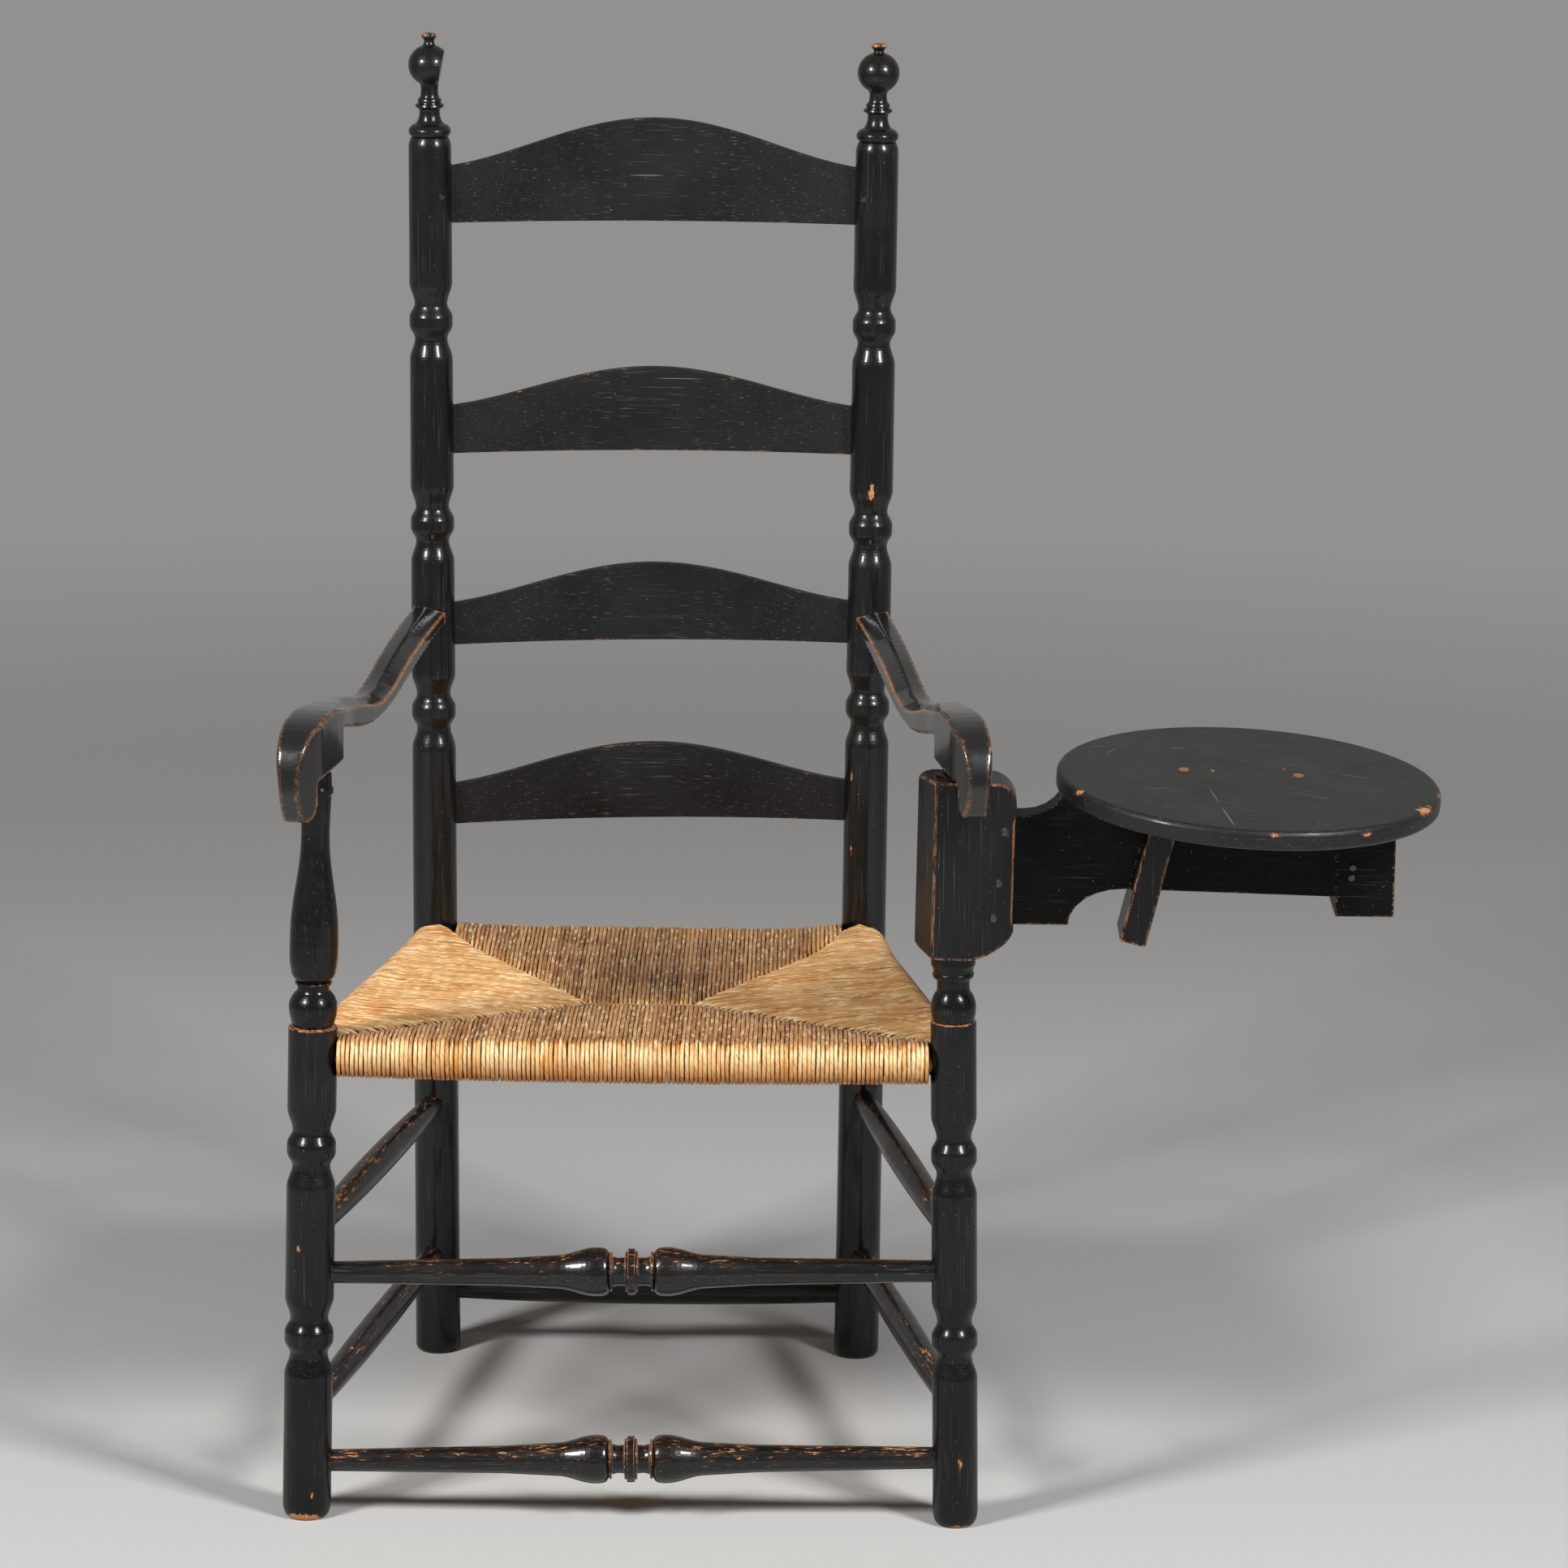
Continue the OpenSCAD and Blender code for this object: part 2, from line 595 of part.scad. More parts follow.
// Half of a turned front stretcher, from its middle out, as [distance, radius, curve]
function half_stretcher(half) = [
    [0, 20.3, "line"], [3.2, 20.3, "line"], [5.5, 17.5, "rounded"], [6, 12.6, "line"],
    [11.5, 12.2, "line"], [16.4, 13.2, "ease"], [17, 17.2, "line"], [18.6, 17.6, "line"],
    [19.2, 16.2, "line"], [21, bulb_r * 0.88, "line"], [31, bulb_r, "rounded"],
    [66, 14.6, "ease"], [110, 12.2, "line"], [half - tenon_depth - 6, stretcher_end_r, "line"],
    [half, stretcher_end_r, "line"]];

module front_stretcher(zz) {
    l = front_at(-1, zz[0]);
    r = front_at(1, zz[1]);
    middle = (l + r) / 2;
    left_half = norm(middle - l) - member_start(front_d(-1) / 2, tenon_depth);
    right_half = norm(middle - r) - member_start(front_d(1) / 2, tenon_depth);
    color(black) union() {
        along(middle, r) lathe(half_stretcher(right_half));
        along(middle, l) lathe(half_stretcher(left_half));
    }
}

module seat_rail(p, q, p_r, q_r) {
    start = member_start(p_r, rail_tenon_depth);
    stop = member_end(p, q, q_r, rail_tenon_depth);
    neck = rail_tenon_depth + 4;
    color(hidden_wood) along(p, q) lathe([
        [start, rail_tenon_r], [start + neck, rail_tenon_r, "line"],
        [start + neck + 10, rail_r, "ease"], [stop - neck - 10, rail_r, "line"],
        [stop - neck, rail_tenon_r, "ease"], [stop, rail_tenon_r, "line"]]);
}

module front_rail() {
    seat_rail(front_at(-1, seat_front_z), front_at(1, seat_front_z),
        front_d(-1) / 2, front_d(1) / 2);
}

module rear_rail() {
    seat_rail(back_at(-1, seat_rear_z), back_at(1, seat_rear_z),
        back_r(seat_rear_z), back_r(seat_rear_z));
}

module side_rail(side) {
    seat_rail(front_at(side, seat_front_z), back_at(side, seat_rear_z),
        front_d(side) / 2, back_r(seat_rear_z));
}

// Rush seat: four rolls round the rails, and the four woven panels between them
rush_r = rail_r + rush_t;
rush_tip_x = 46;
rush_tip_y = 190;
rush_panel_h = rush_r * 0.85;
roll_start = 20;
tunnel_start = rail_r + rush_gap + 1;

function rush_corner(side, row) =
    row == 0 ? front_at(side, seat_front_z) : back_at(side, seat_rear_z);

module rush_roll(p, q, r, start) {
    along(p, q) translate([0, 0, start]) cylinder(h = norm(q - p) - 2 * start, r = r);
}

module rush_rolls(r, start) {
    rush_roll(rush_corner(-1, 0), rush_corner(1, 0), r, start);
    rush_roll(rush_corner(-1, 1), rush_corner(1, 1), r, start);
    rush_roll(rush_corner(-1, 0), rush_corner(-1, 1), r, start);
    rush_roll(rush_corner(1, 0), rush_corner(1, 1), r, start);
}

module rush_panels() {
    lift = [0, 0, rush_panel_h];
    tip_z = seat_front_z - seat_slope * rush_tip_y;
    tips = [for (s = [-1, 1]) [mid_x + s * rush_tip_x, rush_tip_y, tip_z]];
    ring = [rush_corner(-1, 0), rush_corner(1, 0), rush_corner(1, 1), rush_corner(-1, 1)];
    dip = [0, 0, rush_dip];
    points = concat([for (p = ring) p + lift], [for (p = tips) p + lift - dip],
        [for (p = ring) p - lift], [for (p = tips) p - lift + dip]);
    polyhedron(points = points, faces = [
        [4, 5, 1], [4, 1, 0], [1, 5, 2], [5, 4, 3], [5, 3, 2], [4, 0, 3],
        [7, 11, 10], [7, 10, 6], [8, 11, 7], [9, 10, 11], [9, 11, 8], [9, 6, 10],
        [0, 1, 7], [0, 7, 6], [1, 2, 8], [1, 8, 7], [2, 3, 9], [2, 9, 8], [3, 0, 6], [3, 6, 9]]);
}

module rush_seat() {
    color(rush_colour) difference() {
        union() {
            rush_rolls(rush_r, roll_start);
            rush_panels();
        }
        rush_rolls(rail_r + rush_gap, tunnel_start);
        for (side = [-1, 1]) {
            on_front_post(side) translate([0, 0, seat_front_z - 40])
                cylinder(h = 80, r = front_d(side) / 2 + rush_gap);
            on_back_post(side) translate([0, 0, seat_rear_z - 40])
                cylinder(h = 80, r = back_r(seat_rear_z) + rush_gap);
        }
    }
}

// Writing arm. Distances are from the journal's axis at the middle of the block
block_mid_z = (ring_top_z + block_top_z) / 2;
hinge_x = front_x(1, block_mid_z);
block_flat = 30;
block_edge = 15;

module on_block() {
    translate([hinge_x, 0, block_mid_z]) rotate([0, block_lean, 0]) children();
}

module tablet_frame() {
    translate([hinge_x + tablet_reach, -tablet_forward, tablet_z])
        rotate([tablet_pitch, tablet_droop, 0]) children();
}

// All of the space above the underside of the tablet
module above_tablet_underside() {
    tablet_frame() translate([-big / 2, -big / 2, -tablet_t]) cube([big, big, 200]);
}

module block_plan() {
    half = block_depth / 2;
    polygon([
        [-17, -half], [block_flat, -half], [block_out, -block_edge], [block_out, block_edge],
        [34, half],
        [-20, half], [-block_in, 14], [-block_in, 6]]);
}

module block_front_view() {
    low = ring_top_z - block_mid_z;
    high = block_top_z - block_mid_z;
    round = block_top_round;
    polygon(concat(
        [[-block_in - 1, low + 9], [-block_in + 3, low + 4.5], [-block_in + 13, low + 1],
         [-10, low]],
        smooth([[16, low], [27, low + 3.5], [block_out - 13, low + 9.5],
            [block_out - 4, low + 16.5], [block_out, low + 24]], 3),
        [for (a = [0 : 10 : 90]) [block_out - round + round * cos(a), high - round + round * sin(a)]],
        [[-block_in + 5, high], [-block_in + 1, high - 2], [-block_in - 1, high - 6]]));
}

module hinge_block() {
    color(black) difference() {
        on_block() intersection() {
            translate([0, 0, -big / 2]) linear_extrude(big) block_plan();
            rotate([90, 0, 0]) linear_extrude(block_depth + 20, center = true) block_front_view();
        }
        on_front_post(1) translate([0, 0, ring_top_z - 20])
            cylinder(h = block_top_z - ring_top_z + 40, r = journal_r + journal_gap);
        on_front_post(1) translate([0, 0, ring_top_z - 20])
            cylinder(h = 20 + block_seat_gap, r = front_right_d / 2);
        bracket_mortise();
        all_nail_holes();
    }
}

bracket_slot_x = block_out - bracket_tenon;
bracket_neck_z = 645;
bracket_cove_r = 36;
bracket_top_z = tablet_z + 40;
bracket_low_end = 99;
bracket_thin_start = 146;
end_batten_x = 328;
bracket_fall = tan(1.45);

module bracket_mortise() {
    translate([hinge_x + bracket_slot_x - joint_fit, -bracket_t / 2 - joint_fit,
        bracket_low_z - joint_fit])
        cube([bracket_tenon + 20, bracket_t + 2 * joint_fit,
            bracket_neck_z - bracket_low_z + 2 * joint_fit]);
}

// Side view of the bracket board: its neck is low enough to pass under the arm's scroll
module bracket_view() {
    cove_w = bracket_thin_start - bracket_low_end;
    cove_h = bracket_thin_z - bracket_low_z;
    neck_x = block_out + 8;
    end_low = bracket_thin_z - (end_batten_x - bracket_thin_start) * bracket_fall;
    polygon(concat(
        [[bracket_slot_x, bracket_low_z]],
        [for (a = [0 : 15 : 90]) [bracket_thin_start - cove_w * cos(a), bracket_low_z + cove_h * sin(a)]],
        [[end_batten_x, end_low], [end_batten_x, bracket_top_z],
         [neck_x + bracket_cove_r, bracket_top_z]],
        [for (a = [0 : 15 : 75]) [neck_x + bracket_cove_r * cos(a),
            bracket_neck_z + bracket_cove_r * (1 - sin(a))]],
        [[neck_x, bracket_neck_z], [bracket_slot_x, bracket_neck_z]]));
}

module tablet_bracket() {
    color(black) difference() {
        union() {
            translate([hinge_x, bracket_t / 2, 0]) rotate([90, 0, 0])
                linear_extrude(bracket_t) bracket_view();
            end_tenon(0);
        }
        above_tablet_underside();
        mid_batten_frame() translate([-mid_batten_t / 2 - joint_fit, -big / 2, -big + lap_z + joint_fit])
            cube([mid_batten_t + 2 * joint_fit, big, big]);
        all_nail_holes();
        peg_holes();
    }
}

// Tenon of the bracket in the end batten
end_tenon_l = 26;
end_tenon_t = 12;
end_tenon_low = 584;
end_tenon_h = 44;

module end_tenon(gap) {
    translate([hinge_x + end_batten_x - 5, -end_tenon_t / 2 - gap, end_tenon_low - gap])
        cube([end_tenon_l + 5 + gap, end_tenon_t + 2 * gap, end_tenon_h + 2 * gap]);
}

// The leaning batten crosses the bracket in a halved joint
mid_batten_x = 168;
mid_batten_z = 600;
mid_batten_low = -62;
mid_batten_front = 42;
lap_z = 18;

module mid_batten_frame() {
    translate([hinge_x + mid_batten_x, 0, mid_batten_z]) rotate([0, mid_batten_lean, 0]) children();
}

module middle_batten() {
    color(black) difference() {
        mid_batten_frame() translate([-mid_batten_t / 2, -mid_batten_front, mid_batten_low])
            cube([mid_batten_t, mid_batten_l, 160]);
        above_tablet_underside();
        mid_batten_frame() translate([-40, -bracket_t / 2 - joint_fit, lap_z])
            cube([80, bracket_t + 2 * joint_fit, 200]);
    }
}

end_batten_low = 559.5;

module end_batten() {
    color(black) difference() {
        translate([hinge_x + end_batten_x + joint_fit, -bracket_t / 2, end_batten_low])
            difference() {
                cube([end_batten_w, end_batten_l, 140]);
                translate([end_batten_w, -1, 0]) rotate([0, tablet_droop, 0])
                    translate([0, 0, -20]) cube([30, end_batten_l + 2, 200]);
            }
        above_tablet_underside();
        end_tenon(joint_fit);
        all_nail_holes();
    }
}

// Round tablet with a worn, rounded edge
module writing_tablet() {
    r = tablet_d / 2;
    top_round = 5;
    low_round = 4;
    color(black) difference() {
        tablet_frame() rotate_extrude() polygon(concat(
            [[0, -tablet_t], [r - low_round, -tablet_t]],
            [for (a = [15 : 15 : 90]) [r - low_round + low_round * sin(a),
                -tablet_t + low_round - low_round * cos(a)]],
            [for (a = [0 : 15 : 75]) [r - top_round + top_round * cos(a),
                -top_round + top_round * sin(a)]],
            [[r - top_round, 0], [0, 0]]), $fn = 128);
        peg_holes();
    }
}

// Wooden pegs through the tablet into the bracket, as distances from the hinge
peg_places = [196, 294];
peg_depth = 26;

module at_peg(x) {
    tablet_frame() translate([x - tablet_reach, tablet_forward, 0]) children();
}

module peg_holes() {
    for (x = peg_places) at_peg(x) translate([0, 0, -tablet_t - peg_depth - socket_gap])
        cylinder(h = tablet_t + peg_depth + 10, r = peg_d / 2 + tenon_fit);
}

module tablet_pegs() {
    color(hidden_wood) for (x = peg_places) at_peg(x)
        translate([0, 0, -tablet_t - peg_depth])
            cylinder(h = tablet_t + peg_depth + peg_proud, r = peg_d / 2);
}

// Nails, as [distance from the hinge, height]: three through the block's slanted outer
// face into the bracket, and two through the end batten into the bracket's tenon
block_nail_places = [[43, 35], [39, -10], [35, -40]];
batten_nail_places = [[342, 603], [341, 594]];
nail_shank_r = 1.8;
nail_l = 23;
nail_head_t = 1.2;
face_run = block_out - block_flat;
face_turn = atan2(block_depth / 2 - block_edge, face_run);

// Puts +Z along a nail, with the surface that its head lies on at zero
module at_block_nail(n) {
    on_block() translate([n[0], -block_depth / 2 + (n[0] - block_flat) * tan(face_turn), n[1]])
        rotate([0, 0, face_turn]) rotate([-90, 0, 0]) children();
}

module at_batten_nail(n) {
    translate([hinge_x + n[0], -bracket_t / 2, n[1]]) rotate([-90, 0, 0]) children();
}

module nail_hole() {
    translate([0, 0, -4]) cylinder(h = nail_l + 4 + socket_gap, r = nail_shank_r + tenon_fit);
}

module nail(head_d) {
    translate([0, 0, -nail_head_t - tenon_fit]) cylinder(h = nail_head_t, r = head_d / 2);
    translate([0, 0, -tenon_fit - 0.1]) cylinder(h = nail_l, r = nail_shank_r);
}

module all_nail_holes() {
    for (n = block_nail_places) at_block_nail(n) nail_hole();
    for (n = batten_nail_places) at_batten_nail(n) nail_hole();
}

module block_nails() {
    color(iron) for (n = block_nail_places) at_block_nail(n) nail(nail_head_d);
}

module batten_nails() {
    color(iron) for (n = batten_nail_places) at_batten_nail(n) nail(nail_head_d - 1);
}

color(black) front_post(-1);  // front_post_left
color(black) front_post(1);  // front_post_right
color(black) back_post(-1);  // back_post_left
color(black) back_post(1);  // back_post_right
color(black) slat(0);  // slat_top
color(black) slat(1);  // slat_upper
color(black) slat(2);  // slat_lower
color(black) slat(3);  // slat_bottom
slat_pins();
color(black) arm(-1);  // arm_left
color(black) arm(1);  // arm_right
front_stretcher(front_upper_z);  // front_stretcher_upper
front_stretcher(front_lower_z);  // front_stretcher_lower
plain_stretcher(back_at(-1, rear_z), back_at(1, rear_z), back_r(rear_z), back_r(rear_z),  // rear_stretcher
        stretcher_mid_r);
side_stretcher(-1, left_upper_z);  // side_stretcher_left_upper
side_stretcher(-1, left_lower_z);  // side_stretcher_left_lower
side_stretcher(1, right_upper_z);  // side_stretcher_right_upper
side_stretcher(1, right_lower_z);  // side_stretcher_right_lower
front_rail();  // seat_rail_front
rear_rail();  // seat_rail_rear
side_rail(-1);  // seat_rail_left
side_rail(1);  // seat_rail_right
rush_seat();
hinge_block();
tablet_bracket();
middle_batten();
end_batten();
writing_tablet();
block_nails();
batten_nails();
tablet_pegs();
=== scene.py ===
import math
import random

import bmesh
import bpy
import numpy as np
from mathutils import Matrix, Vector, noise


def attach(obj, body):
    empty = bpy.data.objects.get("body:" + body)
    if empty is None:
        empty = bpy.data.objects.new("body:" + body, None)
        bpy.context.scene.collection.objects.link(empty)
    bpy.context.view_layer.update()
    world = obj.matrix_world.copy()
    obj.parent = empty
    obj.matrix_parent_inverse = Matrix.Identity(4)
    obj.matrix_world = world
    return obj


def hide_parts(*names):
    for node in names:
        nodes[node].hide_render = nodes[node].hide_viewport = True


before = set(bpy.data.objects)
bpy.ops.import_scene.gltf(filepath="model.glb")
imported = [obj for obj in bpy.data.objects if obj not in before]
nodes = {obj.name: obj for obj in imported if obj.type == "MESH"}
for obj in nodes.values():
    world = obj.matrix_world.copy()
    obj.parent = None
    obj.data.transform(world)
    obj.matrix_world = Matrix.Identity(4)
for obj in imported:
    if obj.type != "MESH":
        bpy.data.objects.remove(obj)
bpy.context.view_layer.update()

# The view of the photograph: a long lens over five metres away and a little above a standing
# person's eyes, looking down at the whole chair from nearly straight in front of the seat.
lens_mm = 140
sensor_mm = 36
camera_at = (-0.1223, -5.079, 1.877)
camera_pitch, camera_yaw, camera_roll = (math.radians(a) for a in (13.4, -0.4, 0.6))


def add_object(name, data):
    """A new object of the scene that holds this camera, mesh or lamp."""
    made = bpy.data.objects.new(name, data)
    bpy.context.collection.objects.link(made)
    return made


lens = bpy.data.cameras.new("portrait_lens")
lens.lens = lens_mm
lens.sensor_width = sensor_mm
camera = add_object("camera", lens)
look = Vector((math.sin(camera_yaw) * math.cos(camera_pitch),
               math.cos(camera_yaw) * math.cos(camera_pitch), -math.sin(camera_pitch)))
level = Vector((math.cos(camera_yaw), -math.sin(camera_yaw), 0))
above = level.cross(look)
right = level * math.cos(camera_roll) + above * math.sin(camera_roll)
top = above * math.cos(camera_roll) - level * math.sin(camera_roll)
camera.matrix_world = Matrix.Translation(camera_at) @ Matrix((right, top, -look)).transposed().to_4x4()
bpy.context.scene.camera = camera

# Front posts: turned maple, painted black more than once and rubbed by hands and shoes. The
# left one is a vase up to the arm, the right one a journal for the writing arm. The paint is
# worn off in spots, and down to bare wood around their feet.
MM = 0.001


def linear(code):
    """The linear colour of an sRGB hex value."""
    parts = [int(code[i:i + 2], 16) / 255 for i in (1, 3, 5)]
    return tuple(c / 12.92 if c <= 0.04045 else ((c + 0.055) / 1.055) ** 2.4 for c in parts) + (1,)


def add_node(tree, kind, inputs=(), out=0, **settings):
    """Adds a shader node with its settings, values and links, and returns one of its outputs."""
    new = tree.nodes.new("ShaderNode" + kind)
    for name, value in settings.items():
        setattr(new, name, value)
    for key, value in dict(inputs).items():
        if isinstance(value, bpy.types.NodeSocket):
            tree.links.new(value, new.inputs[key])
        else:
            new.inputs[key].default_value = value
    return new.outputs[out]


def start_material(name):
    """A new node material, with its node tree and its main shader."""
    material = bpy.data.materials.new(name)
    material.use_nodes = True
    return material, material.node_tree, material.node_tree.nodes["Principled BSDF"]


# Old black paint over maple. It reads as a deep, slightly cool black with a soft waxed shine,
# fine lines along the grain, and orange to tan bare wood where edges and fronts are rubbed.
paint_black, paint_grey = "#050506", "#151617"
thin_paint, bare_orange, bare_tan = "#3a2012", "#a2582c", "#cf9f70"
scratch_grey, dust_tan = "#6a645c", "#9a8b78"
# Grain lines, scratches and tool marks are drawn coarser than the real ones, so that they show
grain_line_mm, grain_run_mm = 1.3, 60
handled_patch_mm = 71.43
speck_mm = 1.111
dust_mm = 2.381
scratch_mm, scratch_run_mm = 0.7143, 62.5
lump_mm, lump_run_mm = 6.667, 14.286
tool_mark_mm, tool_mark_round_mm = 1.4286, 83.33
scribe_half_mm = 0.45
paint_relief_mm = 0.22
thin_at, bare_at = (0.62, 0.72), (0.715, 0.735)
bare_rough = 0.62
wax_rough = 0.12


def painted_maple(name, grain=(0, 0, 1), worn=0.0, edge=0.35, edge_mm=2.5, edge_turn=0.86,
                  rubbed=None, rub=0.0, rough=0.27, grey=0.3, scratches=0.5, lines=0.5,
                  turned=0.0, lumps=0.3, chip=(5, 18), specks=0.5, wax=0.3, gloss=0.2,
                  marks=(), scribes=(), rings=(), cuts=()):
    """Black paint on maple with its grain along one direction, worn at edges and rubbed sides.

    Marks are worn spots as (centre, half sizes, strength), scribes are heights of fine cut lines,
    rings are worn arrises as (height, half width, strength), and cuts are long scratches as
    (centre, half sizes, turn about Z), all in mm and degrees.
    """
    material, tree, shader = start_material(name)
    place = add_node(tree, "TexCoord", out=3)
    height_at = add_node(tree, "SeparateXYZ", {0: place}, out=2)
    turn = Vector(grain).rotation_difference(Vector((0, 0, 1))).to_euler()
    along = add_node(tree, "Mapping", {"Vector": place, "Rotation": turn})
    fine_place = add_node(tree, "Mapping", {"Vector": along, "Scale": (
        1000 / grain_line_mm, 1000 / grain_line_mm, 1000 / grain_run_mm)})
    fine = add_node(tree, "TexNoise", {
        "Vector": fine_place, "Scale": 1, "Detail": 3, "Roughness": 0.6})
    chip_place = add_node(tree, "Mapping", {"Vector": along, "Scale": (
        1000 / chip[0], 1000 / chip[0], 1000 / chip[1])})
    chips = add_node(tree, "TexNoise", {
        "Vector": chip_place, "Scale": 1, "Detail": 7, "Roughness": 0.7, "Distortion": 0.4})
    broad = add_node(tree, "TexNoise", {
        "Vector": along, "Scale": 1000 / handled_patch_mm, "Detail": 3, "Roughness": 0.6})
    speck = add_node(tree, "TexNoise", {"Vector": along, "Scale": 1000 / speck_mm, "Detail": 2})

    # How far each place is worn: chips, plus edges, rubbed sides and known marks
    wear = add_node(tree, "Math", {0: chips, 1: worn - 0.02}, operation="ADD")
    for noise_at, share in ((fine, 0.16), (broad, 0.25)):
        centred = add_node(tree, "Math", {0: noise_at, 1: 0.5}, operation="SUBTRACT")
        wear = add_node(tree, "Math", {0: centred, 1: share, 2: wear}, operation="MULTIPLY_ADD")
    facing = add_node(tree, "NewGeometry", out=1)
    if edge:
        eased = add_node(tree, "Bevel", {"Radius": edge_mm * MM}, samples=6)
        flat = add_node(tree, "VectorMath", {0: facing, 1: eased}, out=1, operation="DOT_PRODUCT")
        sharp = add_node(tree, "MapRange", {
            "Value": flat, "From Min": 1.0, "From Max": edge_turn, "To Min": 0.0, "To Max": edge})
        wear = add_node(tree, "Math", {0: wear, 1: sharp}, operation="ADD")
    if rubbed:
        toward = add_node(tree, "VectorMath", {0: facing, 1: Vector(rubbed).normalized()}, out=1,
                          operation="DOT_PRODUCT")
        side = add_node(tree, "MapRange", {
            "Value": toward, "From Min": 0.2, "From Max": 0.95, "To Min": 0.0, "To Max": rub})
        wear = add_node(tree, "Math", {0: wear, 1: side}, operation="ADD")
    for centre, size, strength in marks:
        offset = add_node(tree, "VectorMath", {0: place, 1: [c * MM for c in centre]},
                          operation="SUBTRACT")
        reach = add_node(tree, "VectorMath", {0: offset, 1: [s * MM for s in size]},
                         operation="DIVIDE")
        far = add_node(tree, "VectorMath", {0: reach}, out=1, operation="LENGTH")
        near = add_node(tree, "MapRange", {
            "Value": far, "From Min": 1.0, "From Max": 0.2, "To Min": 0.0, "To Max": strength})
        wear = add_node(tree, "Math", {0: wear, 1: near}, operation="ADD")
    for z, half, strength in rings:
        off = add_node(tree, "Math", {0: height_at, 1: z * MM}, operation="SUBTRACT")
        off = add_node(tree, "Math", {0: off}, operation="ABSOLUTE")
        near = add_node(tree, "MapRange", {
            "Value": off, "From Min": half * MM, "From Max": 0.2 * half * MM,
            "To Min": 0.0, "To Max": strength})
        wear = add_node(tree, "Math", {0: wear, 1: near}, operation="ADD")
    thin, bare = (add_node(tree, "MapRange", {"Value": wear, "From Min": low, "From Max": high})
                  for low, high in (thin_at, bare_at))

    # Long light scratches along the grain, and flecks of dust
    scratch_place = add_node(tree, "Mapping", {"Vector": along, "Scale": (
        1000 / scratch_mm, 1000 / scratch_mm, 1000 / scratch_run_mm)})
    scratch = add_node(tree, "TexNoise", {"Vector": scratch_place, "Scale": 1, "Detail": 1})
    scratch = add_node(tree, "MapRange", {
        "Value": scratch, "From Min": 0.66, "From Max": 0.8, "To Min": 0.0, "To Max": scratches})
    for centre, half, turned_by in cuts:
        offset = add_node(tree, "VectorMath", {0: place, 1: [c * MM for c in centre]},
                          operation="SUBTRACT")
        lined = add_node(tree, "VectorRotate", {
            "Vector": offset, "Angle": math.radians(-turned_by)}, rotation_type="Z_AXIS")
        reach = add_node(tree, "VectorMath", {0: lined, 1: [h * MM for h in half]},
                         operation="DIVIDE")
        far = add_node(tree, "VectorMath", {0: reach}, out=1, operation="LENGTH")
        near = add_node(tree, "MapRange", {"Value": far, "From Min": 1.0, "From Max": 0.7})
        scratch = add_node(tree, "Math", {0: scratch, 1: near}, operation="MAXIMUM")
    dust = add_node(tree, "TexNoise", {
        "Vector": along, "Scale": 1000 / dust_mm, "Detail": 2, "Roughness": 0.6})
    dust = add_node(tree, "MapRange", {
        "Value": dust, "From Min": 0.72, "From Max": 0.78, "To Min": 0.0, "To Max": specks})

    # Colour: paint from black to grey, then scratches, dust, thin paint and bare wood over it
    tone = add_node(tree, "MapRange", {"Value": broad, "From Min": 0.3, "From Max": 0.75,
                                       "To Min": max(0.0, grey - 0.3), "To Max": grey + 0.3})
    tone = add_node(tree, "Math", {0: fine, 1: 0.35, 2: tone}, operation="MULTIPLY_ADD")
    colour = add_node(tree, "Mix", {0: tone, 6: linear(paint_black), 7: linear(paint_grey)}, out=2,
                      data_type="RGBA")
    for cover, code in ((scratch, scratch_grey), (dust, dust_tan), (thin, thin_paint)):
        colour = add_node(tree, "Mix", {0: cover, 6: colour, 7: linear(code)}, out=2,
                          data_type="RGBA")
    wood_tone = add_node(tree, "MapRange", {"Value": speck, "From Min": 0.35, "From Max": 0.65})
    wood = add_node(tree, "Mix", {0: wood_tone, 6: linear(bare_orange), 7: linear(bare_tan)}, out=2,
                    data_type="RGBA")
    colour = add_node(tree, "Mix", {0: bare, 6: colour, 7: wood}, out=2, data_type="RGBA")
    tree.links.new(colour, shader.inputs["Base Color"])

    shine = add_node(tree, "MapRange", {"Value": broad, "From Min": 0.3, "From Max": 0.7,
                                        "To Min": rough - 0.06, "To Max": rough + 0.1})
    shine = add_node(tree, "Math", {0: speck, 1: 0.12, 2: shine}, operation="MULTIPLY_ADD")
    shine = add_node(tree, "Mix", {0: bare, 2: shine, 3: bare_rough}, data_type="FLOAT")
    tree.links.new(shine, shader.inputs["Roughness"])
    shader.inputs["Coat Weight"].default_value = wax
    shader.inputs["Coat Roughness"].default_value = wax_rough
    shader.inputs["Specular IOR Level"].default_value = gloss

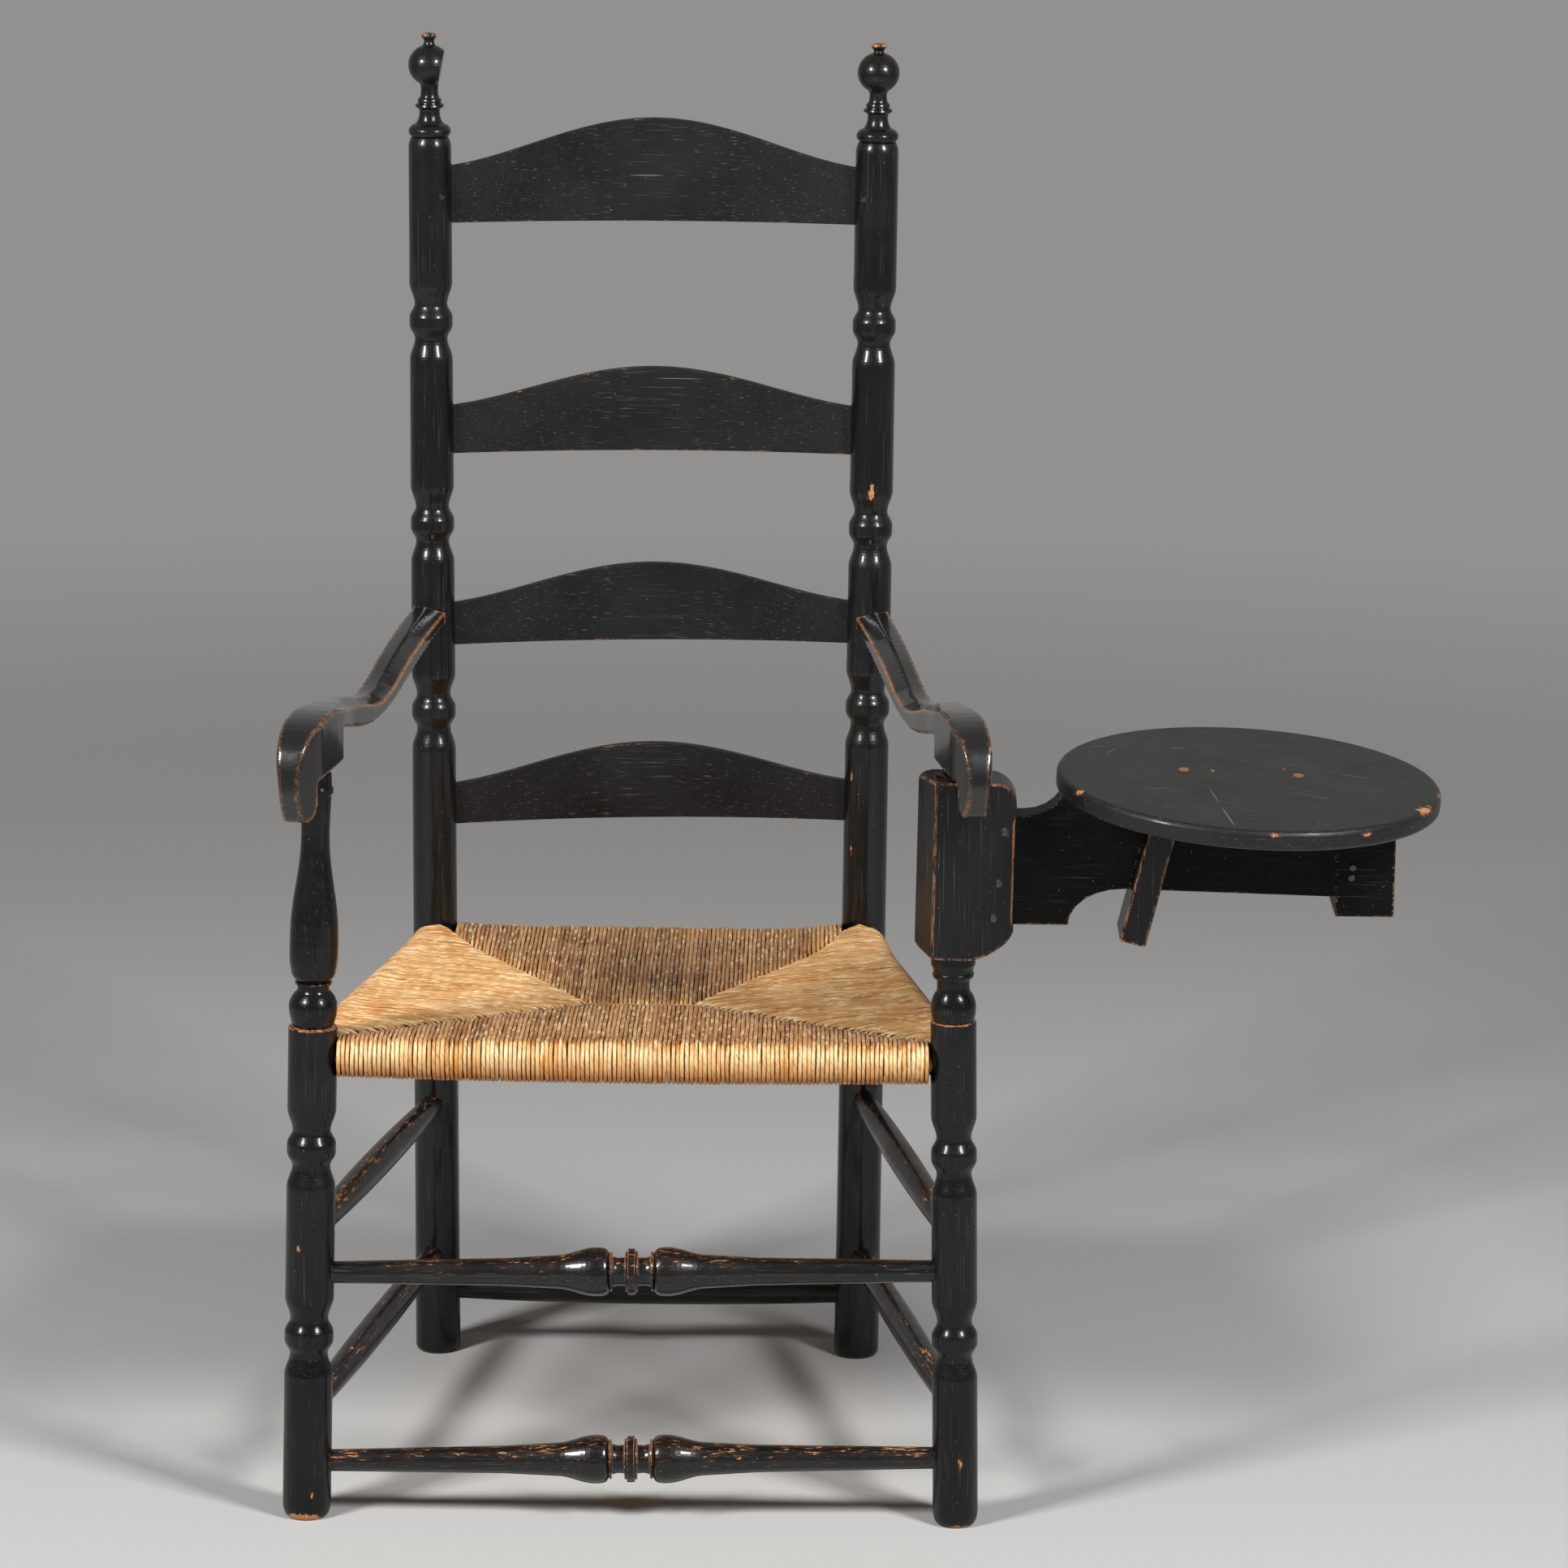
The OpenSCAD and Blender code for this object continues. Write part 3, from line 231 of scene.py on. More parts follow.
    # Relief: grain lines, sunk bare spots, specks, brushed lumps, tool marks and scribed lines
    lump_place = add_node(tree, "Mapping", {"Vector": along, "Scale": (
        1000 / lump_mm, 1000 / lump_mm, 1000 / lump_run_mm)})
    lump = add_node(tree, "TexNoise", {"Vector": lump_place, "Scale": 1, "Detail": 2})
    height = add_node(tree, "Math", {0: fine, 1: lines}, operation="MULTIPLY")
    for form, share in ((bare, -0.9), (speck, 0.25), (lump, 2.5 * lumps)):
        height = add_node(tree, "Math", {0: form, 1: share, 2: height}, operation="MULTIPLY_ADD")
    if turned:
        tool_place = add_node(tree, "Mapping", {"Vector": along, "Scale": (
            1000 / tool_mark_round_mm, 1000 / tool_mark_round_mm, 1000 / tool_mark_mm)})
        tool_marks = add_node(tree, "TexNoise", {"Vector": tool_place, "Scale": 1, "Detail": 2})
        height = add_node(tree, "Math", {0: tool_marks, 1: turned, 2: height},
                          operation="MULTIPLY_ADD")
    for z in scribes:
        line = add_node(tree, "Math", {0: height_at, 1: z * MM, 2: scribe_half_mm * MM},
                        operation="COMPARE")
        height = add_node(tree, "Math", {0: line, 1: -2.0, 2: height}, operation="MULTIPLY_ADD")
    bump = add_node(tree, "Bump", {
        "Height": height, "Distance": paint_relief_mm * MM, "Strength": 0.9})
    tree.links.new(bump, shader.inputs["Normal"])
    return material


def finish_node(name, material):
    """Gives a CAD node its material."""
    mesh = nodes[name].data
    mesh.materials.clear()
    mesh.materials.append(material)
    for face in mesh.polygons:
        face.material_index = 0


front_marks = {
    "front_post_left": [((-574, -17, 0), (22, 16, 11), 0.8), ((-575, -21, 250), (4, 6, 8), 0.3),
                        ((-566, -21, 25), (5, 6, 10), 0.3)],
    "front_post_right": [((3, -20, 60), (4, 8, 26), 0.2), ((-18, -12, 437), (4, 8, 9), 0.33),
                         ((2, -17, 0), (16, 10, 5), 0.4)],
}
front_rings = {
    "front_post_left": [(447, 1.3, 0.24), (486.5, 0.9, 0.16), (659, 1.0, 0.12)],
    "front_post_right": [(458.6, 1.3, 0.22), (497, 0.8, 0.14)],
}
for name, marks in front_marks.items():
    finish_node(name, painted_maple(
        "black_paint_on_" + name, turned=0.6, worn=-0.01, edge=0.14, marks=marks,
        rings=front_rings[name], specks=0.7, wax=0.35, gloss=0.12, lumps=0.8, rough=0.22))

# Back posts: taller turned maple, with three beads and a ball finial each, in the same paint.
# Arms and slats are let into them, and the maker's scribed lines still show at each joint.
slat_lines = (1082, 1134, 868.5, 913, 689.5, 729, 519, 557)
finial_caps = {"back_post_left": 1253, "back_post_right": 1248}
back_marks = {
    "back_post_left": [((-505, 442, 727), (10, 10, 3), 0.3)],
    "back_post_right": [((-83, 440, 838), (6, 6, 18), 0.3), ((-88, 440, 818), (5, 6, 12), 0.3),
                        ((-98, 442, 570), (3, 8, 14), 0.35), ((-98, 442, 500), (3, 8, 12), 0.3)],
}
for name, marks in back_marks.items():
    finish_node(name, painted_maple(
        "black_paint_on_" + name, turned=0.6, worn=-0.02, edge=0.1, marks=marks,
        rings=[(finial_caps[name], 3.5, 0.25)], scribes=slat_lines, wax=0.4, lumps=0.8, rough=0.22))

# Slats: four boards riven and steamed to a bow, let into the back posts. Their paint is drier
# and greyer than the posts', with a hair of fine scratches along the grain.
slat_cuts = [((-293, 480, 1124), (17, 30, 0.5), 0), ((-262, 480, 936), (24, 30, 0.4), 0)]
slat_paint = painted_maple(
    "dry_black_paint_on_slats", grain=(1, 0, 0), worn=-0.06, edge=0.2, edge_mm=2.4, edge_turn=0.95,
    rough=0.4, grey=0.6, scratches=0.75, lines=1.0, wax=0.1, gloss=0.25, cuts=slat_cuts)
weld_mm = 0.02
flat_within_deg = 0.5
sharp_over_deg = 35


def ease_edges(name, edge_w_mm):
    """Rounds the worn edges of a sawn CAD board without touching its mesh."""
    piece = nodes[name]
    weld = piece.modifiers.new("joined_faces", "WELD")
    weld.merge_threshold = weld_mm * MM
    plane = piece.modifiers.new("whole_faces", "DECIMATE")
    plane.decimate_type = "DISSOLVE"
    plane.angle_limit = math.radians(flat_within_deg)
    edge = piece.modifiers.new("eased_edges", "BEVEL")
    edge.width = edge_w_mm * MM
    edge.segments = 2
    edge.limit_method = "ANGLE"
    edge.angle_limit = math.radians(sharp_over_deg)
    edge.use_clamp_overlap = False
    shading = piece.modifiers.new("flat_faces_stay_flat", "WEIGHTED_NORMAL")
    shading.weight = 100


for name in ("slat_top", "slat_upper", "slat_lower", "slat_bottom"):
    finish_node(name, slat_paint)
    ease_edges(name, 1.0)

# Stretchers: the two in front are turned with twin bulbs and are the most worn wood on the
# chair, where shoes rested. The side and rear ones are plain, and the side ones rubbed on top.
finish_node("front_stretcher_upper", painted_maple(
    "black_paint_on_front_stretchers", grain=(1, 0, 0), worn=-0.02, edge=0.22, edge_mm=1.5,
    rubbed=(0, -0.3, 1), rub=0.14, rough=0.22, scratches=0.8, chip=(2, 11), lines=1.2, specks=1.0,
    wax=0.6))
finish_node("front_stretcher_lower", painted_maple(
    "black_paint_on_lower_front_stretcher", grain=(1, 0, 0), worn=0.01, edge=0.24, edge_mm=1.5,
    rubbed=(0, -0.5, 1), rub=0.15, rough=0.24, scratches=0.9, chip=(2.2, 13), lines=1.2, specks=1.0,
    wax=0.6))
finish_node("rear_stretcher", painted_maple("black_paint_on_rear_stretcher", grain=(1, 0, 0)))
side_splay = 0.165
for side, inward in (("left", 1), ("right", -1)):
    side_wear = painted_maple(
        "black_paint_on_" + side + "_stretchers", grain=(inward * side_splay, 1, 0), worn=-0.02,
        edge=0.0, rubbed=(inward * 0.5, -0.2, 1), rub=0.17, rough=0.3, chip=(2.4, 18), scratches=0.8)
    for row in ("upper", "lower"):
        finish_node("side_stretcher_" + side + "_" + row, side_wear)

# Arms: sawn and carved from thick maple boards. Each dips behind its post, swells over it and
# ends in a handhold that turns down. The upper inner edge is hollowed, and every edge is
# rounded and worn to orange wood by hands.
arm_voxel_mm = 1.7
rounding_passes = 5
# The carving in mm, along the arm from the axis of its front post
hollow_w, hollow_reach = 13, 14
hollow_step, hollow_fall = 1.0, 5.5
hollow_from, hollow_widens, hollow_deepens = 15, 90, 60
scroll_from = -20
scroll_middle, scroll_half = 4, 12
scroll_taper = [(641, 6.0), (660, 2.5), (690, 0.0)]
joint_r, joint_ease = 22, 4
arm_places = {
    "left": {"at": -563.6, "turn": 9.31, "flip": -1, "post": (-488.2, 460)},
    "right": {"at": -5.9, "turn": 9.61, "flip": 1, "post": (-83.8, 460)},
}
# Top and inner side of an arm, as (distance back, height) and (distance back, place across)
arm_tops = {"left": 724.5, "right": 729}
arm_front_rise = [(-62, -40), (-50, -17), (-28, -4), (10, 0), (65, -5), (105, -11)]
arm_back_rise = [(142, 708), (180, 699), (213, 695), (252, 698), (310, 710), (370, 719),
                 (430, 725), (480, 728)]
arm_inner = [(-62, -7), (-54, -8), (-30, -16), (-15, -17), (50, -17), (95, -14), (480, -15)]


def voxel_copy(node_name, piece_name, voxel_mm):
    """A fine, even mesh of a CAD solid, as a new object that can be carved."""
    piece = add_object(piece_name, nodes[node_name].data.copy())
    joined = bmesh.new()
    joined.from_mesh(piece.data)
    bmesh.ops.remove_doubles(joined, verts=joined.verts, dist=weld_mm * MM)
    joined.to_mesh(piece.data)
    joined.free()
    even = piece.modifiers.new("even", "REMESH")
    even.mode = "VOXEL"
    even.voxel_size = voxel_mm * MM
    bpy.context.view_layer.update()
    fine = bpy.data.meshes.new_from_object(piece.evaluated_get(bpy.context.evaluated_depsgraph_get()))
    piece.modifiers.clear()
    piece.data = fine
    for face in fine.polygons:
        face.use_smooth = True
    return piece


def at_station(line, y):
    """The value of a line of (station, value) points between its stations."""
    return float(np.interp(y, [p[0] for p in line], [p[1] for p in line]))


def clamped(value):
    """A value held between 0 and 1."""
    return min(1, max(0, value))


def carve_arm(mesh, place, tops):
    """Hollows the top of an arm behind its post and thins the handhold towards its lower end.

    Returns how freely each vertex may be rounded: not at all by the back post, where it fits.
    """
    turn = math.radians(place["turn"])
    free = np.ones(len(mesh.vertices))
    for vertex in mesh.vertices:
        x = (vertex.co.x / MM - place["at"]) * place["flip"]
        y = vertex.co.y / MM
        outward = x * math.cos(turn) + y * math.sin(turn)
        back = -x * math.sin(turn) + y * math.cos(turn)
        if back > hollow_from:
            crest = at_station(tops, back)
            deep = outward - at_station(arm_inner, back)
            width = hollow_w * clamped((back - hollow_from) / hollow_widens)
            if deep < width and vertex.co.z / MM > crest - hollow_reach:
                fall = hollow_step + hollow_fall * (1 - max(deep, 0) / hollow_w)
                fall *= clamped((back - hollow_from) / hollow_deepens)
                vertex.co.z = min(vertex.co.z, (crest - fall) * MM)
        if back < scroll_from:
            pulled = at_station(scroll_taper, vertex.co.z / MM)
            pulled *= clamped((outward - scroll_middle) / scroll_half)
            vertex.co.x -= pulled * math.cos(turn) * place["flip"] * MM
            vertex.co.y -= pulled * math.sin(turn) * MM
        from_post = math.hypot(vertex.co.x / MM - place["post"][0], y - place["post"][1])
        free[vertex.index] = clamped((from_post - joint_r) / joint_ease)
    return free


def relax(mesh, rounds, free):
    """Rounds a mesh by moving each free vertex towards the middle of its neighbours."""
    co = np.zeros(len(mesh.vertices) * 3)
    mesh.vertices.foreach_get("co", co)
    co = co.reshape(-1, 3)
    ends = np.zeros(len(mesh.edges) * 2, int)
    mesh.edges.foreach_get("vertices", ends)
    a, b = ends.reshape(-1, 2).T
    count = np.bincount(a, minlength=len(co)) + np.bincount(b, minlength=len(co))
    for _ in range(rounds):
        total = np.zeros_like(co)
        np.add.at(total, a, co[b])
        np.add.at(total, b, co[a])
        co += 0.5 * free[:, None] * (total / np.maximum(count, 1)[:, None] - co)
    mesh.vertices.foreach_set("co", co.ravel())
    mesh.update()


for side, place in arm_places.items():
    arm = voxel_copy("arm_" + side, "carved_arm_" + side, arm_voxel_mm)
    tops = [(y, arm_tops[side] + rise) for y, rise in arm_front_rise] + arm_back_rise
    free = carve_arm(arm.data, place, tops)
    relax(arm.data, rounding_passes, free)
    arm.data.materials.clear()
    arm.data.materials.append(painted_maple(
        "waxed_black_paint_on_arm_" + side, grain=(place["flip"] * -0.17, 1, 0), edge=0.34,
        edge_mm=6, edge_turn=0.93, rubbed=(0, -1, 0.1), rub=0.03, rough=0.22, scratches=0.3,
        lines=0.3, chip=(3.5, 10), wax=1.0, gloss=0.25))
    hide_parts("arm_" + side)
    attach(arm, "root")

# Seat rails: ash rounds left bare and let into the posts. The rush is wound over them and hides
# them. Where an end shows, the eye sees dry, pale brown wood with its grain along the rail.
ash_line_mm, ash_run_mm = 2, 16.67
bare_ash, tree, shader = start_material("bare_ash")
ash_place = add_node(tree, "Mapping", {"Vector": add_node(tree, "TexCoord", out=3), "Scale": (
    1000 / ash_line_mm, 1000 / ash_run_mm, 1000 / ash_line_mm)})
ash_grain = add_node(tree, "TexNoise", {"Vector": ash_place, "Scale": 1, "Detail": 4})
ash_colour = add_node(tree, "Mix", {0: ash_grain, 6: linear("#8a5f38"), 7: linear("#c39a68")}, out=2,
                      data_type="RGBA")
tree.links.new(ash_colour, shader.inputs["Base Color"])
tree.links.new(add_node(tree, "Bump", {"Height": ash_grain, "Distance": 0.3 * MM}),
               shader.inputs["Normal"])
shader.inputs["Roughness"].default_value = 0.7
for name in ("seat_rail_front", "seat_rail_rear", "seat_rail_left", "seat_rail_right"):
    finish_node(name, bare_ash)

# Rush seat: leaves of bulrush twisted by hand into strands about 4 mm thick and wound over the
# four rails, one strand beside the next. The strands of the side panels lie over the ends of
# those that run front to back, along four seams that meet near the middle.
mid_x = -0.286
front_half, back_half = 0.2776, 0.201
seat_back_y = 0.46
front_rail_z, rear_rail_z = 0.42, 0.4
tip_half, tip_y = 0.046, 0.19
roll_r = 0.018
strand_pitch = 0.0039
strand_half_w, strand_half_t = 0.00195, 0.0019
shortest_strand, longest_strand = 0.006, 0.3
seam_ragged = (-0.0015, 0.0025)
swell_range = (0.88, 1.08)
panel_lift, panel_dip = 0.0132, 0.007
panel_crown, rail_crown, rail_crown_run = 0.0025, 0.0029, 0.012
seam_dive, seam_dive_run = 0.0055, 0.009
front_sag = 0.0035
lower_drop, lower_sag = 0.002, 0.6
station_run, last_station = 0.014, 0.004
wander = 0.0007
tucked_end = 0.55
ring_points = 8
post_clear = {"front": 0.0235, "back": 0.0228}
corner_peaks = [((-0.470, 0.432), 0.005), ((-0.102, 0.432), 0.011)]
corner_spread = 0.034
shuffle = random.Random(7)


def rail_x(y, side):
    """The axis of a side rail, to the left or right."""
    return mid_x + side * (front_half + (back_half - front_half) * y / seat_back_y)


def rail_z(y):
    """The height of the rails' axes, which fall towards the back."""
    return front_rail_z + (rear_rail_z - front_rail_z) * y / seat_back_y


tip_reach = rail_x(tip_y, 1) - mid_x - tip_half


def inside(x, y):
    """0 at the rails and 1 at the middle, as the woven top dips."""
    sides = [(rail_x(y, s) - x) * s / tip_reach for s in (-1, 1)]
    return max(0.0, min(y / tip_y, (seat_back_y - y) / (seat_back_y - tip_y), *sides, 1.0))


def corner_rise(x, y):
    """How far the rush is heaped up beside the back posts."""
    return sum(rise * math.exp(-((x - at[0]) ** 2 + (y - at[1]) ** 2) / corner_spread ** 2)
               for at, rise in corner_peaks)


def seam_length(foot, inward):
    """How far a strand runs from its rail to the seam."""
    step = 0.001
    slack = 0.004
    reach = 0.0
    while reach < longest_strand:
        p = foot + inward * reach
        if abs(inward.x) < 0.01:
            own = p.y / tip_y if inward.y > 0 else (seat_back_y - p.y) / (seat_back_y - tip_y)
        else:
            side = -1 if inward.x > 0 else 1
            own = (rail_x(p.y, side) - p.x) * side / tip_reach
        if inside(p.x, p.y) < own - slack or own >= 0.999:
            return reach
        reach += step
    return reach


def strand_path(foot, inward, reach, band):
    """The middle of a strand, as (distance in, height over the rail, how far it faces out)."""
    runs = max(3, round(reach / station_run))
    steps = [reach * (1 - (k / runs) ** 1.3) for k in range(runs)]
    steps = sorted({*steps, reach - last_station})

    def dive(s):
        return max(0.0, 1 - (reach - s) / seam_dive_run) ** 1.6 * seam_dive

    path = []
    for s in reversed(steps):
        p = foot + inward * s
        crown = panel_crown * math.sin(math.pi * min(1, s / reach))
        crown += rail_crown * math.exp(-(s / rail_crown_run) ** 2)
        z = panel_lift + crown - panel_dip * inside(p.x, p.y) - dive(s) + corner_rise(p.x, p.y)
        path.append((s, z, 0.0))
    centre_r = roll_r - strand_half_t
    lift = corner_rise(foot.x, foot.y)
    for a in range(90, 271, 15):
        turn = math.radians(a)
        z = centre_r * math.sin(turn) + lift * (1 + math.sin(turn)) / 2
        path.append((centre_r * math.cos(turn), z - band * max(0, -math.sin(turn)),
                     math.sin(math.radians(a - 90))))
    for s in steps:
        p = foot + inward * s
        if s > 0.001:
            z = -panel_lift - lower_drop + panel_dip * inside(p.x, p.y) + dive(s) - band * lower_sag
            path.append((s, z, 0.0))
    return path


verts, faces, face_uv, vert_tint = [], [], [], []


def lay_strand(foot, inward, band, panel):
    """One strand, from the seam over the top, round the rail and back to the seam below."""
    reach = seam_length(foot, inward) + shuffle.uniform(*seam_ragged)
    if reach < shortest_strand:
        return
    swell = shuffle.uniform(*swell_range)
    tone = shuffle.random()
    phase = shuffle.uniform(0, 50)
    cleaned = shuffle.uniform(-0.18, 0.18)
    across = inward.cross(Vector((0, 0, 1)))
    path = strand_path(foot, inward, reach, band)
    start = len(verts)
    run = 0.0
    for k, (s, z, outer) in enumerate(path):
        before, after = path[max(0, k - 1)], path[min(len(path) - 1, k + 1)]
        slope = Vector((after[0] - before[0], after[1] - before[1]))
        slope.normalize()
        out = inward * slope.y + Vector((0, 0, -slope.x))
        base = foot + inward * s
        centre = Vector((base.x, base.y, rail_z(base.y) + z))
        centre += across * noise.noise(Vector((phase, run * 35, 0))) * wander
        plump = swell * (1 + 0.13 * noise.noise(Vector((phase + 9, run * 70, 0))))
        if k in (0, len(path) - 1):
            plump *= tucked_end
        for j in range(ring_points):
            a = 2 * math.pi * j / ring_points
            verts.append(centre + across * (math.cos(a) * strand_half_w * plump)
                         + out * (math.sin(a) * strand_half_t * plump))
            vert_tint.append((tone, panel, min(1.0, max(0.0, outer + cleaned)), 1.0))
        if k:
            length = (Vector((s, z)) - Vector(path[k - 1][:2])).length
            run += length
            v0, v1 = phase + run - length, phase + run
            low, high = start + (k - 1) * ring_points, start + k * ring_points
            for j in range(ring_points):
                n = (j + 1) % ring_points
                u0, u1 = j / ring_points, (j + 1) / ring_points
                faces.append((low + j, low + n, high + n, high + j))
                face_uv.extend([(u0, v0), (u1, v0), (u1, v1), (u0, v1)])
    last = start + (len(path) - 1) * ring_points
    for ring in ([start + j for j in range(ring_points)][::-1], [last + j for j in range(ring_points)]):
        faces.append(tuple(ring))
        face_uv.extend([(0.0, phase)] * ring_points)


def strands_between(first, last):
    """Even places for strands along a rail, one strand's width apart."""
    count = round((last - first) / strand_pitch)
    return [first + (last - first) * k / count for k in range(count + 1)]


for y, inward, half, gap in ((0.0, 1, front_half, post_clear["front"]),
                             (seat_back_y, -1, back_half, post_clear["back"])):
    for x in strands_between(mid_x - half + gap, mid_x + half - gap):
        part = (x - mid_x) / half
        sag = front_sag * (1 - part * part) if y == 0 else 0.0
        lay_strand(Vector((x, y, 0)), Vector((0, inward, 0)), sag, 0.0)
side_run = math.hypot(front_half - back_half, seat_back_y)
for side in (-1, 1):
    way = Vector((-side * (front_half - back_half), seat_back_y, 0)) / side_run
    inward = Vector((-side * way.y, side * way.x, 0))
    corner = Vector((mid_x + side * front_half, 0, 0))
    for s in strands_between(post_clear["front"], side_run - post_clear["back"]):
        lay_strand(corner + way * s, inward, 0.0, 1.0)

rush_mesh = bpy.data.meshes.new("rush_strands")
rush_mesh.from_pydata([tuple(v) for v in verts], [], faces)
tint = rush_mesh.color_attributes.new("strand", "FLOAT_COLOR", "POINT")
tint.data.foreach_set("color", [c for colour in vert_tint for c in colour])
wrap = rush_mesh.uv_layers.new(name="strand_wrap")
wrap.data.foreach_set("uv", [c for uv in face_uv for c in uv])
for face in rush_mesh.polygons:
    face.use_smooth = len(face.vertices) == 4
rush = add_object("rush_strands", rush_mesh)

# Dry twisted bulrush: honey on the clean bands over the rails, browner on the sat-on panels,
# with gold flecks, dark splits between the leaves and a dull sheen along each strand. Painted
# shade darkens the crevices between strands and, in amber, the underside of the band's roll.
# Lengths along a strand have three decimals, because its pattern starts up to 50 m along.
twist_run_mm = 11
fibre_run_mm = 16.667
combed_run_mm, combed_lean_mm = 35.714, 25
fleck_run_mm = 18.182
patch_mm = 45.45
rush_relief_mm = 0.5
panel_dark, panel_light = "#9c6030", "#f2b676"
side_dark, side_light = "#c08446", "#f6c68a"
band_dark, band_light = "#e09c4c", "#ffdfa6"
# The amber and the crevice brown are painted shade: under the band's roll and between strands
grime_brown, fleck_gold, underside_shade_amber = "#754c28", "#fcdca8", "#c4742c"
split_brown, crevice_shade_brown = "#5e3815", "#2b1a0c"

bulrush, tree, shader = start_material("twisted_bulrush")
place = add_node(tree, "TexCoord", out=3)
strand_tint = tree.nodes.new("ShaderNodeSeparateColor")
tree.links.new(add_node(tree, "Attribute", attribute_name="strand"), strand_tint.inputs[0])
tone, on_side, outer = strand_tint.outputs
strand_uv = tree.nodes.new("ShaderNodeSeparateXYZ")
tree.links.new(add_node(tree, "UVMap", uv_map="strand_wrap"), strand_uv.inputs[0])
around, run_at = strand_uv.outputs[0], strand_uv.outputs[1]

# Leaf fibres follow the twist on the front and rear panels and lie flatter on the side panels
twist_at = add_node(tree, "Math", {0: run_at, 1: 1000 / twist_run_mm}, operation="MULTIPLY")
twist_at = add_node(tree, "Math", {0: around, 1: 2.0, 2: twist_at}, operation="MULTIPLY_ADD")
fibre_at = add_node(tree, "CombineXYZ", {
    0: add_node(tree, "Math", {0: twist_at, 1: 5.0}, operation="MULTIPLY"),
    1: add_node(tree, "Math", {0: run_at, 1: 1000 / fibre_run_mm}, operation="MULTIPLY")})
fibre = add_node(tree, "TexNoise", {"Vector": fibre_at, "Scale": 1.4, "Detail": 3, "Roughness": 0.6})
combed_lean = add_node(tree, "Math", {0: run_at, 1: 1000 / combed_lean_mm}, operation="MULTIPLY")
combed_at = add_node(tree, "CombineXYZ", {
    0: add_node(tree, "Math", {0: around, 1: 8.0, 2: combed_lean}, operation="MULTIPLY_ADD"),
    1: add_node(tree, "Math", {0: run_at, 1: 1000 / combed_run_mm}, operation="MULTIPLY"),
    2: add_node(tree, "Math", {0: tone, 1: 60.0}, operation="MULTIPLY")})
combed = add_node(tree, "TexNoise", {
    "Vector": combed_at, "Scale": 1.0, "Detail": 4, "Roughness": 0.65})
fibre = add_node(tree, "Mix", {0: on_side, 2: fibre, 3: combed}, data_type="FLOAT")
fleck_at = add_node(tree, "CombineXYZ", {
    0: add_node(tree, "Math", {0: around, 1: 3.0}, operation="MULTIPLY"),
    1: add_node(tree, "Math", {0: run_at, 1: 1000 / fleck_run_mm}, operation="MULTIPLY"),
    2: add_node(tree, "Math", {0: tone, 1: 40.0}, operation="MULTIPLY")})
fleck = add_node(tree, "TexNoise", {"Vector": fleck_at, "Scale": 1, "Detail": 3, "Roughness": 0.55})
patch = add_node(tree, "TexNoise", {
    "Vector": place, "Scale": 1000 / patch_mm, "Detail": 4, "Roughness": 0.6})

# Panels and band, each between its own dark and light by patch and by strand
varied = add_node(tree, "Math", {0: patch, 1: 2.0, 2: -0.78}, operation="MULTIPLY_ADD")
varied = add_node(tree, "Math", {0: tone, 1: 0.55, 2: varied}, operation="MULTIPLY_ADD",
                  use_clamp=True)
panel_colour, side_colour, band_colour = (
    add_node(tree, "Mix", {0: varied, 6: linear(dark), 7: linear(light)}, out=2, data_type="RGBA")
    for dark, light in ((panel_dark, panel_light), (side_dark, side_light), (band_dark, band_light)))
colour = add_node(tree, "Mix", {0: on_side, 6: panel_colour, 7: side_colour}, out=2, data_type="RGBA")
grime = add_node(tree, "MapRange", {"Value": patch, "From Min": 0.5, "From Max": 0.7, "To Max": 0.3})
colour = add_node(tree, "Mix", {0: grime, 6: colour, 7: linear(grime_brown)}, out=2, data_type="RGBA")
outward = add_node(tree, "MapRange", {"Value": outer, "From Min": 0.35, "From Max": 0.6})
colour = add_node(tree, "Mix", {0: outward, 6: colour, 7: band_colour}, out=2, data_type="RGBA")

# Gold flecks, painted shade in amber under the band's roll, dark splits in the leaves, and
# painted shade in the crevices at each strand's sides
fleck_on = add_node(tree, "MapRange", {"Value": fleck, "From Min": 0.56, "From Max": 0.6, "To Max": 0.9})
# Painted shade: the band turns darker amber towards the bottom of its roll, where it faces down
underside_shade = add_node(tree, "MapRange", {"Value": add_node(tree, "SeparateXYZ", {0: place}, out=2),
                                    "From Min": 0.426, "From Max": 0.406, "To Max": 0.9})
underside_shade = add_node(tree, "Math", {0: underside_shade, 1: outward}, operation="MULTIPLY")
split = add_node(tree, "MapRange", {"Value": fibre, "From Min": 0.48, "From Max": 0.34, "To Max": 0.7})
# Painted shade: each strand turns dark brown towards its sides, in the crevices between strands
round_at = add_node(tree, "Math", {0: around, 1: 2 * math.pi}, operation="MULTIPLY")
round_at = add_node(tree, "Math", {0: round_at}, operation="SINE")
deep = add_node(tree, "MapRange", {"Value": round_at, "From Min": 0.72, "From Max": 0.0, "To Max": 0.9})
for cover, code in ((fleck_on, fleck_gold), (underside_shade, underside_shade_amber), (split, split_brown),
                    (deep, crevice_shade_brown)):
    colour = add_node(tree, "Mix", {0: cover, 6: colour, 7: linear(code)}, out=2, data_type="RGBA")
tree.links.new(colour, shader.inputs["Base Color"])
shader.inputs["Roughness"].default_value = 0.34
twist = add_node(tree, "Math", {0: twist_at, 1: 2 * math.pi}, operation="MULTIPLY")
twist = add_node(tree, "Math", {0: twist}, operation="SINE")
height = add_node(tree, "Math", {0: twist, 1: 0.35, 2: fibre}, operation="MULTIPLY_ADD")
tree.links.new(add_node(tree, "Bump", {
    "Height": height, "Distance": rush_relief_mm * MM, "Strength": 0.9}), shader.inputs["Normal"])
rush_mesh.materials.append(bulrush)
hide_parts("rush_seat")
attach(rush, "root")
